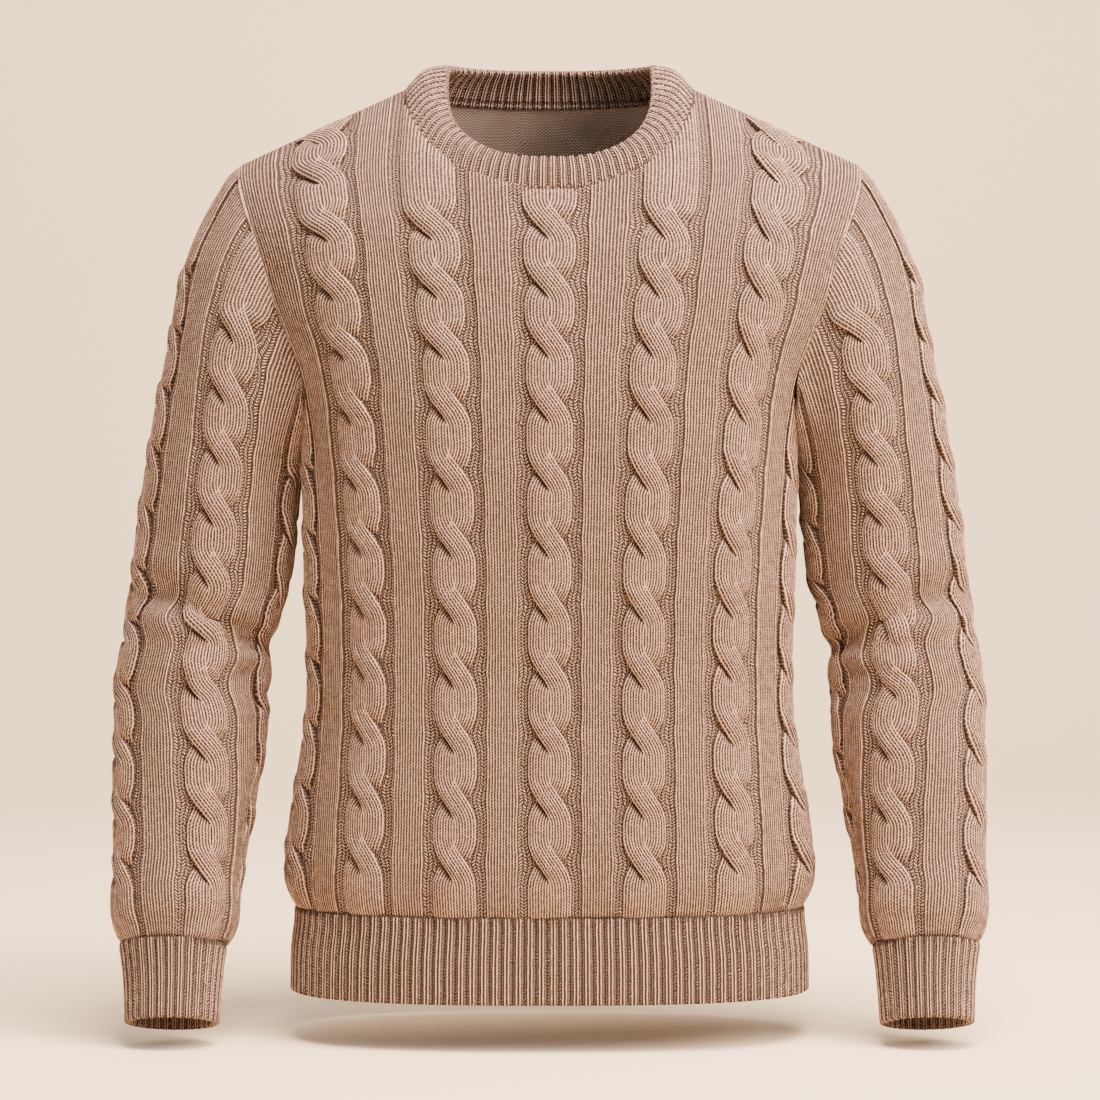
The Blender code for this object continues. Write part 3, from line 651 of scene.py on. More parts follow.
def head_point(angle, t):
    """Points of the sleeve's head, from the armhole at t = 0 to the upper arm at t = 1."""
    turn = np.radians(angle)
    start = armhole_point(angle) + np.array((HEAD_GAP, 0.0, 0.0))
    out = HEAD_OUT + HEAD_OUT_SWING * np.cos(turn)
    forward = HEAD_FORWARD * np.sin(turn)
    leave = np.stack((out, -forward, -np.sqrt(1.0 - out * out - forward * forward)), axis=-1)
    top = np.full(np.shape(angle), SLEEVE_TOP)
    end = ring_point(top, angle + HEAD_TURN)
    arrive = unit(ring_point(top - HEAD_AHEAD, angle + HEAD_TURN) - end)
    reach = np.linalg.norm(end - start, axis=-1, keepdims=True)
    t = t[..., None]
    ahead = t * (1.0 - t) ** 2 * reach
    behind = t * t * (t - 1.0) * reach
    place = start + (end - start) * (t * t * (3.0 - 2.0 * t)) + leave * ahead + arrive * behind
    outward = np.stack((np.cos(turn), -np.sin(turn), np.zeros_like(turn)), axis=-1)
    push = fold_depth(place[..., 2], angle)[..., None] * np.minimum(1.0, 4.0 * t * (1.0 - t))
    return place + outward * push


class Sleeve:
    """A sleeve's surface, by wale and level: 0 is the cuff, 1 the upper arm and 2 the armhole."""

    step = 0.002
    clear_top = 0.045
    foot = 0.0

    def __init__(self, mirrored):
        self.right = 1.0 if mirrored else -1.0
        self.wales = np.linspace(-SLEEVE_HALF - 0.002, SLEEVE_HALF + 0.002, 400)
        self.levels = np.linspace(0.0, 2.0, 401)
        wale, level = np.meshgrid(self.wales, self.levels)
        height = SLEEVE_SEAM + (SLEEVE_TOP - SLEEVE_SEAM) * np.minimum(level, 1.0)
        points = ring_point(height, self.arm_angle(wale, height))
        t = np.clip(2.0 - level, 0.0, 1.0)
        points = np.where((level > 1.0)[..., None], head_point(self.head_angle(wale, t), t), points)
        points = points - self.inward_depth(points, wale)
        self.points = points * np.array((-1.0 if mirrored else 1.0, 1.0, 1.0))

    def inward_depth(self, points, wale):
        """How far the creases press each point of the left sleeve in."""
        up = lengths(points)
        depth = unevenness(wale, up)
        for crease in SLEEVE_CREASES:
            aside = wale - crease.wale
            above = up - crease.up - crease.climb * aside
            shape = swell(aside, 0.0, crease.half_across) * swell(above, 0.0, crease.half_up)
            depth = depth + crease.depth * shape
        depth = depth * smooth((2.0 - self.levels) / CREASE_FADE)[:, None]
        outward = -unit(np.cross(np.gradient(points, axis=1), np.gradient(points, axis=0)))
        return outward * depth[..., None]

    def arm_angle(self, wale, height):
        """Angle round the arm of a wale at a height."""
        half_girth = math.pi / 2.0 * (
            curve(SLEEVE_ROWS, "half_width", height) + curve(SLEEVE_ROWS, "half_depth", height)
        )
        even = SLEEVE_EVEN * np.minimum(1.0, half_girth / GATHER_HALF)
        out = np.abs(wale)
        rest = (out - SLEEVE_EVEN) / (SLEEVE_HALF - SLEEVE_EVEN)
        reach = np.where(out < SLEEVE_EVEN, out * even / SLEEVE_EVEN, even + (half_girth - even) * rest)
        turn = curve(TURN_ROWS, "turn", height)
        for sway in SWAYS:
            turn = turn + sway.turn * swell(height, sway.height, sway.half_height)
        return np.sign(wale) * 180.0 * reach / half_girth + turn

    def head_angle(self, wale, t):
        """Angle round the armhole's own lines of a wale in the sleeve's head."""
        at_arm = self.arm_angle(wale, np.full(np.shape(wale), SLEEVE_TOP)) - HEAD_TURN
        angles, wales = np.array(HEAD_WALES).T
        beyond = np.clip(np.abs(wale) - wales[-1], 0.0, None) / SLEEVE_HALF * 180.0
        at_edge = np.sign(wale) * (np.interp(np.abs(wale), wales, angles) + beyond)
        return at_edge + (at_arm - at_edge) * smooth(t)

    def place(self, wale, level):
        """Points of the surface."""
        wale, level = np.broadcast_arrays(wale, level)
        return between(self.points, self.levels, level, self.wales, wale)

    def top(self, wale):
        """Level at which the cloth ends."""
        return np.full(np.shape(wale), 2.0)

    def crossings(self, cable):
        """Levels at which a cable crosses."""
        levels = np.linspace(0.0, 2.0, 500)
        length = lengths(self.place(cable * CABLE_SPACING, levels))
        at = SLEEVE_FIRST_CROSSING + SLEEVE_CROSSING_STEP * np.arange(SLEEVE_CROSSING_COUNT)
        at = at[at < length[-1] - self.clear_top]
        return np.interp(at, length, levels)[::-1]


def slopes_of(cloth, wale, level, side=0.001):
    """Small steps over a cloth, to the right and up."""
    right = cloth.place(wale + side, level) - cloth.place(wale - side, level)
    up = cloth.place(wale, level + cloth.step) - cloth.place(wale, level - cloth.step)
    return right, up


def outwards(cloth, wale, level):
    """Way out of a cloth, square to its surface."""
    return unit(np.cross(*slopes_of(cloth, wale, level))) * cloth.right


def row_slope(cloth, wale, level, side=0.001):
    """How far a level row, square to its wales, climbs for each metre across."""
    right, up = slopes_of(cloth, wale, level, side)
    climb = -(right * up).sum(axis=-1) / np.maximum((up * up).sum(axis=-1), 1e-12)
    return climb * cloth.step / side


# ---- Meshes -----------------------------------------------------------------------------------
def finish_piece(bm, name, slot):
    """Make the object of a closed piece, with faces that point out of its cloth."""
    bmesh.ops.recalc_face_normals(bm, faces=bm.faces)
    if bm.calc_volume(signed=True) < 0.0:
        bmesh.ops.reverse_faces(bm, faces=bm.faces)
    mesh = bpy.data.meshes.new(name)
    bm.to_mesh(mesh)
    bm.free()
    mesh.shade_smooth()
    ribbed = slot == "rib_knit"
    for material in (knit_material(ribbed), purl_material(ribbed), reverse_material()):
        mesh.materials.append(material)
    piece = bpy.data.objects.new(name, mesh)
    bpy.context.collection.objects.link(piece)
    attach(piece, "root")
    return piece


def add_sheet(bm, points, stitch, wrap=False):
    """Add a grid of points by row and column to a mesh; wrapped, its last column is its first.

    Gives its vertices, with the column and row of each.
    """
    stitches = bm.verts.layers.float_vector["stitch"]
    numbers = bm.verts.layers.int["number"]
    rows = points.shape[0] - 1
    columns = points.shape[1] - (0 if wrap else 1)
    made = bmesh.ops.create_grid(bm, x_segments=columns, y_segments=rows, size=0.5)
    verts = made["verts"]
    flat = np.array([vert.co[:] for vert in verts])
    column = np.rint((flat[:, 0] + 0.5) * columns).astype(int)
    row = np.rint((flat[:, 1] + 0.5) * rows).astype(int)
    places = points[row, column % points.shape[1]]
    marks = stitch[row, column % points.shape[1]]
    for index, vert in enumerate(verts):
        vert.co = places[index]
        vert[stitches] = marks[index]
        vert[numbers] = index
    return verts, column, row


def new_mesh():
    """An empty mesh that keeps each vertex's stitch and number."""
    bm = bmesh.new()
    bm.verts.layers.float_vector.new("stitch")
    bm.verts.layers.int.new("number")
    return bm


def wall(points, inner, stitch, kinds, kept, seam_row, name):
    """A wall of cloth: outer points and inner points by row and column, joined all round."""
    bm = new_mesh()
    verts, column, row = add_sheet(bm, points, stitch)
    number = bm.verts.layers.int["number"]
    for face in bm.faces:
        first = min(column[vert[number]] for vert in face.verts)
        lowest = min(row[vert[number]] for vert in face.verts)
        face.material_index = KNIT if lowest >= seam_row else kinds[first]
    shifts = (inner - points)[row, column]
    keep = kept[row, column]
    cut = [vert for index, vert in enumerate(verts) if not keep[index]]
    bmesh.ops.delete(bm, geom=cut, context="VERTS")
    skin = bmesh.ops.extrude_face_region(bm, geom=list(bm.faces), use_keep_orig=True)
    for item in skin["geom"]:
        if isinstance(item, bmesh.types.BMVert):
            item.co += Vector(shifts[item[number]])
        elif isinstance(item, bmesh.types.BMFace):
            item.material_index = REVERSE
    return finish_piece(bm, name, "cable_knit")


# ---- The ground of a panel or a sleeve --------------------------------------------------------
Ground = namedtuple("Ground", "wale cable away level stitch shade kind")


def ground_columns(cables):
    """Columns of the ground from one edge to the other, beside and under each cable."""
    half = [(away, BED) for away in BED_PLACES]
    half += [(CABLE_HALF + GUTTER_STEP * i, GUTTER_LEVEL) for i in range(4)]
    half += [(PANEL_EDGE, GUTTER_EDGE_LEVEL), (PANEL_EDGE + 0.5 * WALE, RIDGE_LEVEL + EDGE_RIDGE)]
    for half_wale in range(2, PANEL_WALES + 1):
        level = RIDGE_LEVEL if half_wale % 2 == 1 else VALLEY_LEVEL
        half.append((PANEL_EDGE + 0.5 * WALE * half_wale, level))
    both = [(-away, level) for away, level in half[:0:-1]] + half
    columns = []
    for cable in cables:
        for away, level in both[1:] if columns else both:
            out = abs(away) - PANEL_EDGE
            counted = PURL_WALES + out / (WALE if out > 0.0 else PURL_WALE)
            stitch = cable * (2 * PURL_WALES + PANEL_WALES) + math.copysign(counted, away)
            kind = KNIT if out > -1e-6 else PURL
            # Painted shade on purl, painted light on the raised wale at a panel's edge and painted shade in
            # the line beside it.
            shade = 1.0 if kind == KNIT else PURL_SHADE
            if abs(out - 0.5 * WALE) < 1e-6:
                shade = EDGE_SHADE
            elif abs(out) < 1e-6:
                shade = EDGE_FOOT_SHADE
            columns.append(Ground(cable * CABLE_SPACING + away, cable, away, level, stitch, shade, kind))
    return columns


def draw_in(cloth, columns, level, length):
    """Wales of the ground, drawn in towards each cable where it crosses."""
    drawn = np.tile([column.wale for column in columns], (len(level), 1))
    for index, column in enumerate(columns):
        share = np.interp(abs(column.away), PULL_AWAY, PULL_SHARE)
        at = np.interp(cloth.crossings(column.cable), level[:, index], length[:, index])
        away = (length[:, index][:, None] - at[None, :]) / PINCH_REACH
        room = length[-1, index] - length[:, index]
        pinch = np.exp(-away * away).sum(axis=1) * smooth(room / PINCH_CLEAR)
        drawn[:, index] -= np.sign(column.away) * PINCH * share * pinch
    return drawn


def ground(cloth, columns, level, kept, name, linked=False):
    """The ground of a panel or a sleeve; linked, it ends in the ridge along an armhole."""
    def spread(field):
        return np.tile([getattr(column, field) for column in columns], (len(level), 1))

    wale = spread("wale")
    base = cloth.place(wale, level)
    length = lengths(base)
    lift = spread("level")
    if not linked:
        yoke = YOKE_RELIEF * smooth((base[..., 2] - YOKE_FOOT) / (YOKE_TOP - YOKE_FOOT))
        lift = lift + yoke * np.where(spread("kind") == KNIT, np.where(lift > 0.0, 1.0, -1.0), 0.0)
    settled = rounding(length / FOOT_ROUND)
    lift = lift * settled + FOOT_LEVEL * (1.0 - settled)
    lift = lift + (SLEEVE_LIP if linked else FOOT_LIP) * swell(length, LIP_AT, LIP_HALF)
    room = length[-1] - length
    settled = smooth(room / (SEAM_SETTLE if linked else TOP_SETTLE))
    lift = lift * settled + (SEAM_LEVEL if linked else RIDGE_LEVEL) * (1.0 - settled)
    # Each column's stitches carry its painted shade, or painted light above 1.
    stitch = np.stack((spread("stitch"), length / ROW, spread("shade")), axis=-1)
    seam_row = len(level)
    if linked:
        lift = lift + SEAM_RIDGE * swell(room, SEAM_RIDGE_AT, SEAM_RIDGE_HALF)
        seam_row -= SEAM_ROWS
        # The ridge's rows have no gaps and carry painted shade, deepest along the last row at the seam.
        stitch[seam_row:, :, 0] = 0.5
        stitch[seam_row:, :, 1] = wale[seam_row:] / ROW
        stitch[seam_row:, :, 2] = SEAM_SHADE
        stitch[-1, :, 2] = SEAM_END_SHADE
    drawn = draw_in(cloth, columns, level, length)
    out = outwards(cloth, drawn, level)
    skin = cloth.place(drawn, level)
    # A face with purl on either side of it is purl.
    kinds = [max(left.kind, right.kind) for left, right in zip(columns, columns[1:])]
    return wall(skin + out * lift[..., None], skin - out * INSIDE, stitch, kinds, kept, seam_row, name)


def body_levels(cloth, columns, step):
    """Heights of a panel's grid, and which of its points are cloth."""
    skirt_rows = int((ARMHOLE_CURVE_TOP - PANEL_FOOT) / step)
    chest_rows = int(-ARMHOLE_CURVE_TOP / step)
    wale = np.array([column.wale for column in columns])
    whole = np.abs(wale) < ARMHOLE_WALE + WHOLE_MARGIN
    foot = np.where(whole, ARMHOLE_CURVE_TOP, cloth.top(wale))
    share = np.linspace(0.0, 1.0, skirt_rows + 1)[:, None]
    skirt = PANEL_FOOT + (foot - PANEL_FOOT) * share
    eased = 1.0 - (1.0 - np.linspace(0.0, 1.0, 80)[:, None]) ** 2
    top = np.where(whole, cloth.top(wale), foot + SIDE_STUB)
    dense = foot + (top - foot) * eased
    path = lengths(cloth.place(wale[None, :], dense))
    chest = np.empty((chest_rows, len(wale)))
    for index in range(len(wale)):
        even = np.linspace(0.0, path[-1, index], chest_rows + 1)[1:]
        chest[:, index] = np.interp(even, path[:, index], dense[:, index])
    kept = np.ones((skirt_rows + 1 + chest_rows, len(wale)), dtype=bool)
    kept[skirt_rows + 1:, ~whole] = False
    return np.concatenate((skirt, chest)), kept


def sleeve_levels(columns, step):
    """Levels of a sleeve's grid: close together at the armhole seam, then even."""
    seam = np.array(SEAM_STEPS) / HEAD_LENGTH
    head = np.concatenate((seam, np.linspace(0.04, 1.0, HEAD_STEPS)))
    arm = np.linspace(1.0, 0.0, int((SLEEVE_TOP - SLEEVE_SEAM) / step) + 1)[1:]
    level = np.concatenate((2.0 - head, arm))[::-1]
    level = np.tile(level[:, None], (1, len(columns)))
    return level, np.ones(level.shape, dtype=bool)


# ---- Cables: two strands each, that pass over and under one another ---------------------------
def weave(along, crossings, hold, reach):
    """How far a strand is lifted (above 0) or sunk (below 0) by the crossings along it."""
    away = np.abs(along[..., None] - crossings)
    turn = 1.0 - 2.0 * (np.arange(len(crossings)) % 2)
    return ((1.0 - smooth((away - hold) / (reach - hold))) * turn).sum(axis=-1)


def side_of(along, crossings):
    """Which side of its cable a strand lies on, from -1 to 1."""
    passed = np.clip((crossings - along[..., None]) / CROSS_LENGTH + 0.5, 0.0, 1.0)
    return -np.cos(math.pi * passed.sum(axis=-1))


def strand_height(turn, seen, crossings, along, over, whole, calm):
    """How far a strand's face stands over its bed, and its painted shade and light.

    Seen runs across the cable as it is looked at, over across the strand and whole from the
    cable's middle; turn is 1 for the first strand and -1 for the second.
    """
    deep = turn * weave(along, crossings, DEEP_HOLD, DEEP_REACH)
    soft = turn * weave(along, crossings, SOFT_HOLD, SOFT_REACH) * SOFT_SHARE
    lifted = deep > 0.0
    above = along[..., None] - crossings
    below = np.where(np.abs(above) < DEEP_REACH, above, 0.0).sum(axis=-1) < 0.0
    dome = STRAND_HEIGHT * np.sqrt(1.0 - whole ** 3)
    own = STRAND_HEIGHT * np.sqrt(np.clip(1.0 - np.abs(over) ** STRAND_ROUNDNESS, 0.0, 1.0))
    outer = np.where(over < 0.0, own, STRAND_HEIGHT)
    edge = -turn * side_of(along, crossings) * STRAND_HALF - STRAND_HALF
    cover = smooth((edge - seen + CREASE_OVERHANG) / CREASE_REACH)
    leaf = outer * cover - STRAND_UNDER * (1.0 - cover)
    amount = calm * np.where(np.where(lifted, over < 0.0, below), np.abs(deep), np.abs(soft))
    woven = np.where(lifted, own + LIFT, np.where(below, leaf, own - SINK))
    height = dome * (1.0 - amount) + woven * amount
    # Painted shade where the lower strand is hidden under the upper one, and painted light on the strand and
    # its rounded edges.
    hidden = np.where(~lifted & below, np.abs(deep) * (1.0 - cover), 0.0)
    light = STRAND_LIGHT + STRAND_EDGE_LIGHT * swell(np.abs(over), 0.92, 0.06)
    return height, 1.0 - CREASE_SHADE * calm * hidden + light


def strand_points(cloth, cable, turn):
    """Rings of points along one strand, and their stitches."""
    middle = cable * CABLE_SPACING
    levels = np.linspace(cloth.foot, float(cloth.top(middle)), 500)
    length = lengths(cloth.place(middle, levels))
    rate_end = (levels[-1] - levels[-12]) / (length[-1] - length[-12])
    crossings = np.interp(cloth.crossings(cable), levels, length)
    crossings = crossings[(crossings > FOOT_CLEAR) & (crossings < length[-1] - cloth.clear_top)]
    levels = np.append(levels, levels[-1] + rate_end * BEYOND)
    length = np.append(length, length[-1] + BEYOND)
    along = np.linspace(0.0, length[-1], int(length[-1] / STRAND_STEP) + 1)
    level = np.interp(along, length, levels)
    rate = np.gradient(level, along)[:, None]

    shift = turn * side_of(along, crossings)[:, None] * STRAND_HALF
    lean = np.arctan(np.gradient(shift[:, 0], along))[:, None]
    pressed = weave(along, crossings, DEEP_HOLD, DEEP_REACH)[:, None]
    top_count = 2 * STRAND_WALES + 1
    over = np.concatenate((np.linspace(-1.0, 1.0, top_count), (0.8, 0.0, -0.8)))[None, :]
    x = STRAND_HALF * (1.0 - NARROW * np.abs(pressed)) * over
    seen = shift + x * np.cos(lean)
    aside = seen * cloth.right
    wale = middle + aside
    on_cloth = np.minimum(level, cloth.top(middle) - 2.0 * cloth.step)
    climb = row_slope(cloth, np.full(len(level), middle), on_cloth)[:, None]
    up = level[:, None] + climb * aside - x * np.sin(lean) * rate
    limit = cloth.top(wale)
    room = (limit - up) / rate
    foot_room = np.maximum((up - cloth.foot) / rate, 0.0)
    up = np.maximum(np.minimum(up, limit), cloth.foot)

    reached = along[:, None] - x * np.sin(lean)
    whole = np.clip(np.abs(aside) / (CABLE_HALF + CABLE_MARGIN), 0.0, 1.0)
    calm = smooth(room / SHOULDER_CALM) if abs(cable) == 2 else 1.0
    height, shade = strand_height(turn, seen, crossings, reached, over, whole, calm)
    height = height * (END_HEIGHT + (1.0 - END_HEIGHT) * smooth(room / END_FADE))
    height = height * (FOOT_HEIGHT + (1.0 - FOOT_HEIGHT) * rounding(foot_room / FOOT_FADE))
    height = np.where(room < 0.0, 0.0, height)
    height[:, :top_count] += STRAND_RIDGE * (1.0 - 2.0 * (np.arange(top_count) % 2 == 0))
    height[:, top_count:] = -STRAND_UNDER
    offset = BED + np.maximum(height, -STRAND_UNDER)
    points = cloth.place(wale, up) + outwards(cloth, wale, up) * offset[..., None]

    stitch = np.empty(points.shape)
    stitch[..., 0] = np.concatenate((np.arange(top_count) / 2.0, (8.0, 4.0, 0.0)))
    stitch[..., 1] = (along / ROW)[:, None]
    stitch[..., 2] = shade
    kept = room.max(axis=1) > 0.0
    return points[kept], stitch[kept]


def cables(cloth, numbers, name):
    """The rope cables of a panel or a sleeve, each strand a closed tube."""
    bm = new_mesh()
    for cable in numbers:
        for turn in (1.0, -1.0):
            points, stitch = strand_points(cloth, cable, turn)
            verts, column, _ = add_sheet(bm, points, stitch, wrap=True)
            seam = [vert for vert, at in zip(verts, column) if at in (0, points.shape[1])]
            bmesh.ops.remove_doubles(bm, verts=seam, dist=1e-7)
    rims = [edge for edge in bm.edges if edge.is_boundary]
    bmesh.ops.holes_fill(bm, edges=rims, sides=0)
    return finish_piece(bm, name, "cable_knit")


# ---- Ribbed tubes: hem, cuffs and neckband ----------------------------------------------------
def rib_tube(name, node, rib, repeats, place, out):
    """A ribbed tube: down its outer face, round its edge and back up its inner face."""
    bend = np.linspace(0.0, math.pi, 5)[1:-1]
    outer = np.zeros(rib.rows + 1)
    inner = np.ones(len(INNER_SHARES))
    share = np.concatenate((np.linspace(0.0, 1.0, rib.rows + 1), np.ones(len(bend)), INNER_SHARES))
    inset = np.concatenate((outer, 0.5 - 0.5 * np.cos(bend), inner))
    beyond = np.concatenate((outer, 0.5 * np.sin(bend), 0.0 * inner))
    risen = smooth((share - RELIEF_START) / RELIEF_RISE)
    relief = rib.relief * np.cos(math.pi * inset) * risen

    columns = len(RIB_COLUMNS)
    repeat, part = np.divmod(np.arange(repeats * columns + 1), columns)
    within, level, wale, shade = np.array(RIB_COLUMNS)[part].T
    shade = (1.0 - rib.softness) * (1.0 - shade)
    around, down = np.meshgrid((repeat + within) / repeats, share)
    edge = rib.thickness + RELIEF_ROUND_EDGE * rib.relief * level
    rise = down + beyond[:, None] * edge / rib.length
    linked = swell(share, rib.seam, LINKED_HALF) * (inset < 0.5)
    loops = rib.loops * swell(share, LOOPS_AT, LOOPS_HALF) * (inset > 0.9)
    offset = LINKED_HEIGHT * linked + LOOPS_HEIGHT * loops - rib.thickness * inset
    offset = offset[:, None] + level * relief[:, None]
    points = place(around, rise) + out(around, down) * offset[..., None]

    steps = np.abs(np.diff(share)) * rib.length + np.abs(np.diff(inset)) * rib.thickness
    stitch = np.empty(points.shape)
    stitch[..., 0] = RIB_WALES * repeat + wale
    stitch[..., 1] = np.concatenate(([0.0], np.cumsum(steps)))[:, None] / ROW
    # Painted shade and light of the columns, weaker on the inner face, and painted shade along the row of
    # loops.
    stitch[..., 2] = 1.0 - shade * np.where(inset > 0.6, INNER_CONTRAST, 1.0)[:, None]
    stitch[..., 2] *= (1.0 - LOOPS_SHADE * loops)[:, None]

    bm = new_mesh()
    points = np.concatenate((points, points[:1]))
    verts, column, row = add_sheet(bm, points, np.concatenate((stitch, stitch[-1:])))
    number = bm.verts.layers.int["number"]
    for face in bm.faces:
        first = min(column[vert[number]] for vert in face.verts)
        face.material_index = KNIT if first % columns < RIB_KNIT_COLUMNS else PURL
    at_end = np.isin(column, (0, points.shape[1] - 1)) | np.isin(row, (0, points.shape[0] - 1))
    ends = [vert for vert, chosen in zip(verts, at_end) if chosen]
    bmesh.ops.remove_doubles(bm, verts=ends, dist=1e-7)
    declare(finish_piece(bm, name, "rib_knit"), node)


def hem_section(facing, flat, height):
    """Points round half of the hem, at shares of the way from the middle to the side."""
    half_width = curve(BODY_ROWS, "half_width", height)
    depth = curve(BODY_ROWS, facing.depth_column, height)
    power = 2.0 / HEM_SQUARENESS
    turn = np.linspace(0.0, math.pi / 2.0, 400)
    x = np.sin(turn) ** power
    y = np.clip(np.cos(turn), 0.0, 1.0) ** power
    length = lengths(np.stack((x * HEM_EVEN_WIDTH, y * HEM_EVEN_DEPTH), axis=-1))
    turned = np.interp(np.abs(flat) * length[-1], length, turn)
    across = np.sign(flat) * half_width * np.sin(turned) ** power
    back = facing.sign * depth * np.clip(np.cos(turned), 0.0, 1.0) ** power
    return np.stack((across, back, height), axis=-1)


def hem_place(around, share):
    """Points of the hem rib's outer face, once round from the middle of the front."""
    top = HEM_SEAM - SEAM_GAP / 2.0
    height = top + (HEM_BOTTOM - top) * share
    quarter = 4.0 * np.mod(around, 1.0)
    in_front = (quarter < 1.0) | (quarter > 3.0)
    flat = np.where(quarter < 1.0, quarter, np.where(quarter < 3.0, 2.0 - quarter, quarter - 4.0))
    front = hem_section(FRONT, flat, height)
    return np.where(in_front[..., None], front, hem_section(BACK, flat, height))


def hem_out(around, share):
    """Way out of the hem rib, level with the floor."""
    step = 0.0004
    along = hem_place(around + step, share) - hem_place(around - step, share)
    return unit(np.stack((along[..., 1], -along[..., 0], np.zeros(along.shape[:-1])), axis=-1))


def knit_cuff(name, node, repeats, mirrored):
    """Knit one cuff."""
    flip = np.array((-1.0 if mirrored else 1.0, 1.0, 1.0))
    top = SLEEVE_SEAM - SEAM_GAP / 2.0

    def place(around, share):
        return ring_point(top + (CUFF_END - top) * share, 360.0 * around) * flip

    def out(around, share):
        return ring_out(top + (CUFF_END - top) * share, 360.0 * around) * flip

    rib_tube(name, node, CUFF_RIB, repeats, place, out)


def neck_seam(turn):
    """Points of the neck seam at turns round it from the middle of the front."""
    in_front = np.cos(turn) >= 0.0
    across = NECK_HALF_WIDTH * np.sin(turn)
    height = -np.where(in_front, FRONT.neck_drop, BACK.neck_drop) * np.abs(np.cos(turn))
    seam = np.empty(turn.shape + (3,))
    for facing, chosen in ((FRONT, in_front), (BACK, ~in_front)):
        cloth = body(facing)
        reach = np.abs(across[chosen])
        low = np.zeros_like(reach)
        high = np.full_like(reach, ARMHOLE_WALE)
        for _ in range(30):
            middle = 0.5 * (low + high)
            reached = cloth.place(middle, height[chosen])[..., 0] < reach
            low = np.where(reached, middle, low)
            high = np.where(reached, high, middle)
        seam[chosen] = cloth.place(0.5 * (low + high), height[chosen])
    seam[..., 0] = across
    return seam


@lru_cache(maxsize=None)
def neck_steps():
    """Shares of the neck seam's length, and the turns at which they are reached."""
    turn = np.linspace(0.0, 2.0 * math.pi, 1441)
    length = lengths(neck_seam(turn))
    return length / length[-1], turn


def band_parts(around):
    """The neck seam at shares of its length, with the band's way in, way up, width and crown."""
    turn = np.interp(np.mod(around, 1.0), *neck_steps())
    degrees = np.degrees(np.arccos(np.clip(np.cos(turn), -1.0, 1.0)))
    inside = np.stack((-np.sin(turn), np.cos(turn), np.zeros_like(turn)), axis=-1)
    lean = np.radians(curve(BAND_ROWS, "lean", degrees))[..., None]
    level = np.array((0.0, 0.0, 1.0))
    up = level * np.cos(lean) + inside * np.sin(lean)
    inward = inside * np.cos(lean) - level * np.sin(lean)
    crown = BAND_CROWN + BAND_SIDE_CROWN * np.sin(turn) ** 4
    return neck_seam(turn), inward, up, curve(BAND_ROWS, "width", degrees), crown


def band_place(around, share):
    """Points of the neckband's outer face, from the seam at 0 to the fold at 1."""
    seam, inward, up, width, crown = band_parts(around)
    rise = (width - BAND_THICKNESS / 2.0 + BAND_OVERLAP) * share - BAND_OVERLAP
    crown = crown * np.sin(math.pi * np.clip(share, 0.0, 1.0) ** 1.2)
    return seam + up * rise[..., None] - inward * crown[..., None]


def band_out(around, share):
    """Way out of the neckband's face."""
    return -band_parts(around)[1]


# ---- Materials --------------------------------------------------------------------------------
class Value:
    """A number that varies over a surface; sums on it add Math nodes to its material."""

    def __init__(self, nodes, socket):
        self.nodes = nodes
        self.socket = socket

    def __add__(self, other):
        return self.nodes.math("ADD", self, other)

    def __radd__(self, other):
        return self.nodes.math("ADD", other, self)

    def __sub__(self, other):
        return self.nodes.math("SUBTRACT", self, other)

    def __rsub__(self, other):
        return self.nodes.math("SUBTRACT", other, self)

    def __mul__(self, other):
        return self.nodes.math("MULTIPLY", self, other)

    def __rmul__(self, other):
        return self.nodes.math("MULTIPLY", other, self)

    def __abs__(self):
        return self.nodes.math("ABSOLUTE", self)

    def floor(self):
        """The whole number below."""
        return self.nodes.math("FLOOR", self)

    def fold(self, length):
        """Up to a length and back again, over and over."""
        return self.nodes.math("PINGPONG", self, length)

    def wave(self):
        """A wave that is 1 at whole numbers and 0 halfway between them."""
        return self.nodes.math("COSINE", self * (2.0 * math.pi)) * 0.5 + 0.5

    def ramp(self, low, high):
        """0 below low and 1 above high, with a smooth rise between."""
        node = self.nodes.add(
            "ShaderNodeMapRange",
            {"interpolation_type": "SMOOTHSTEP"},
            {"Value": self, "From Min": low, "From Max": high},
        )
        return Value(self.nodes, node.outputs["Result"])


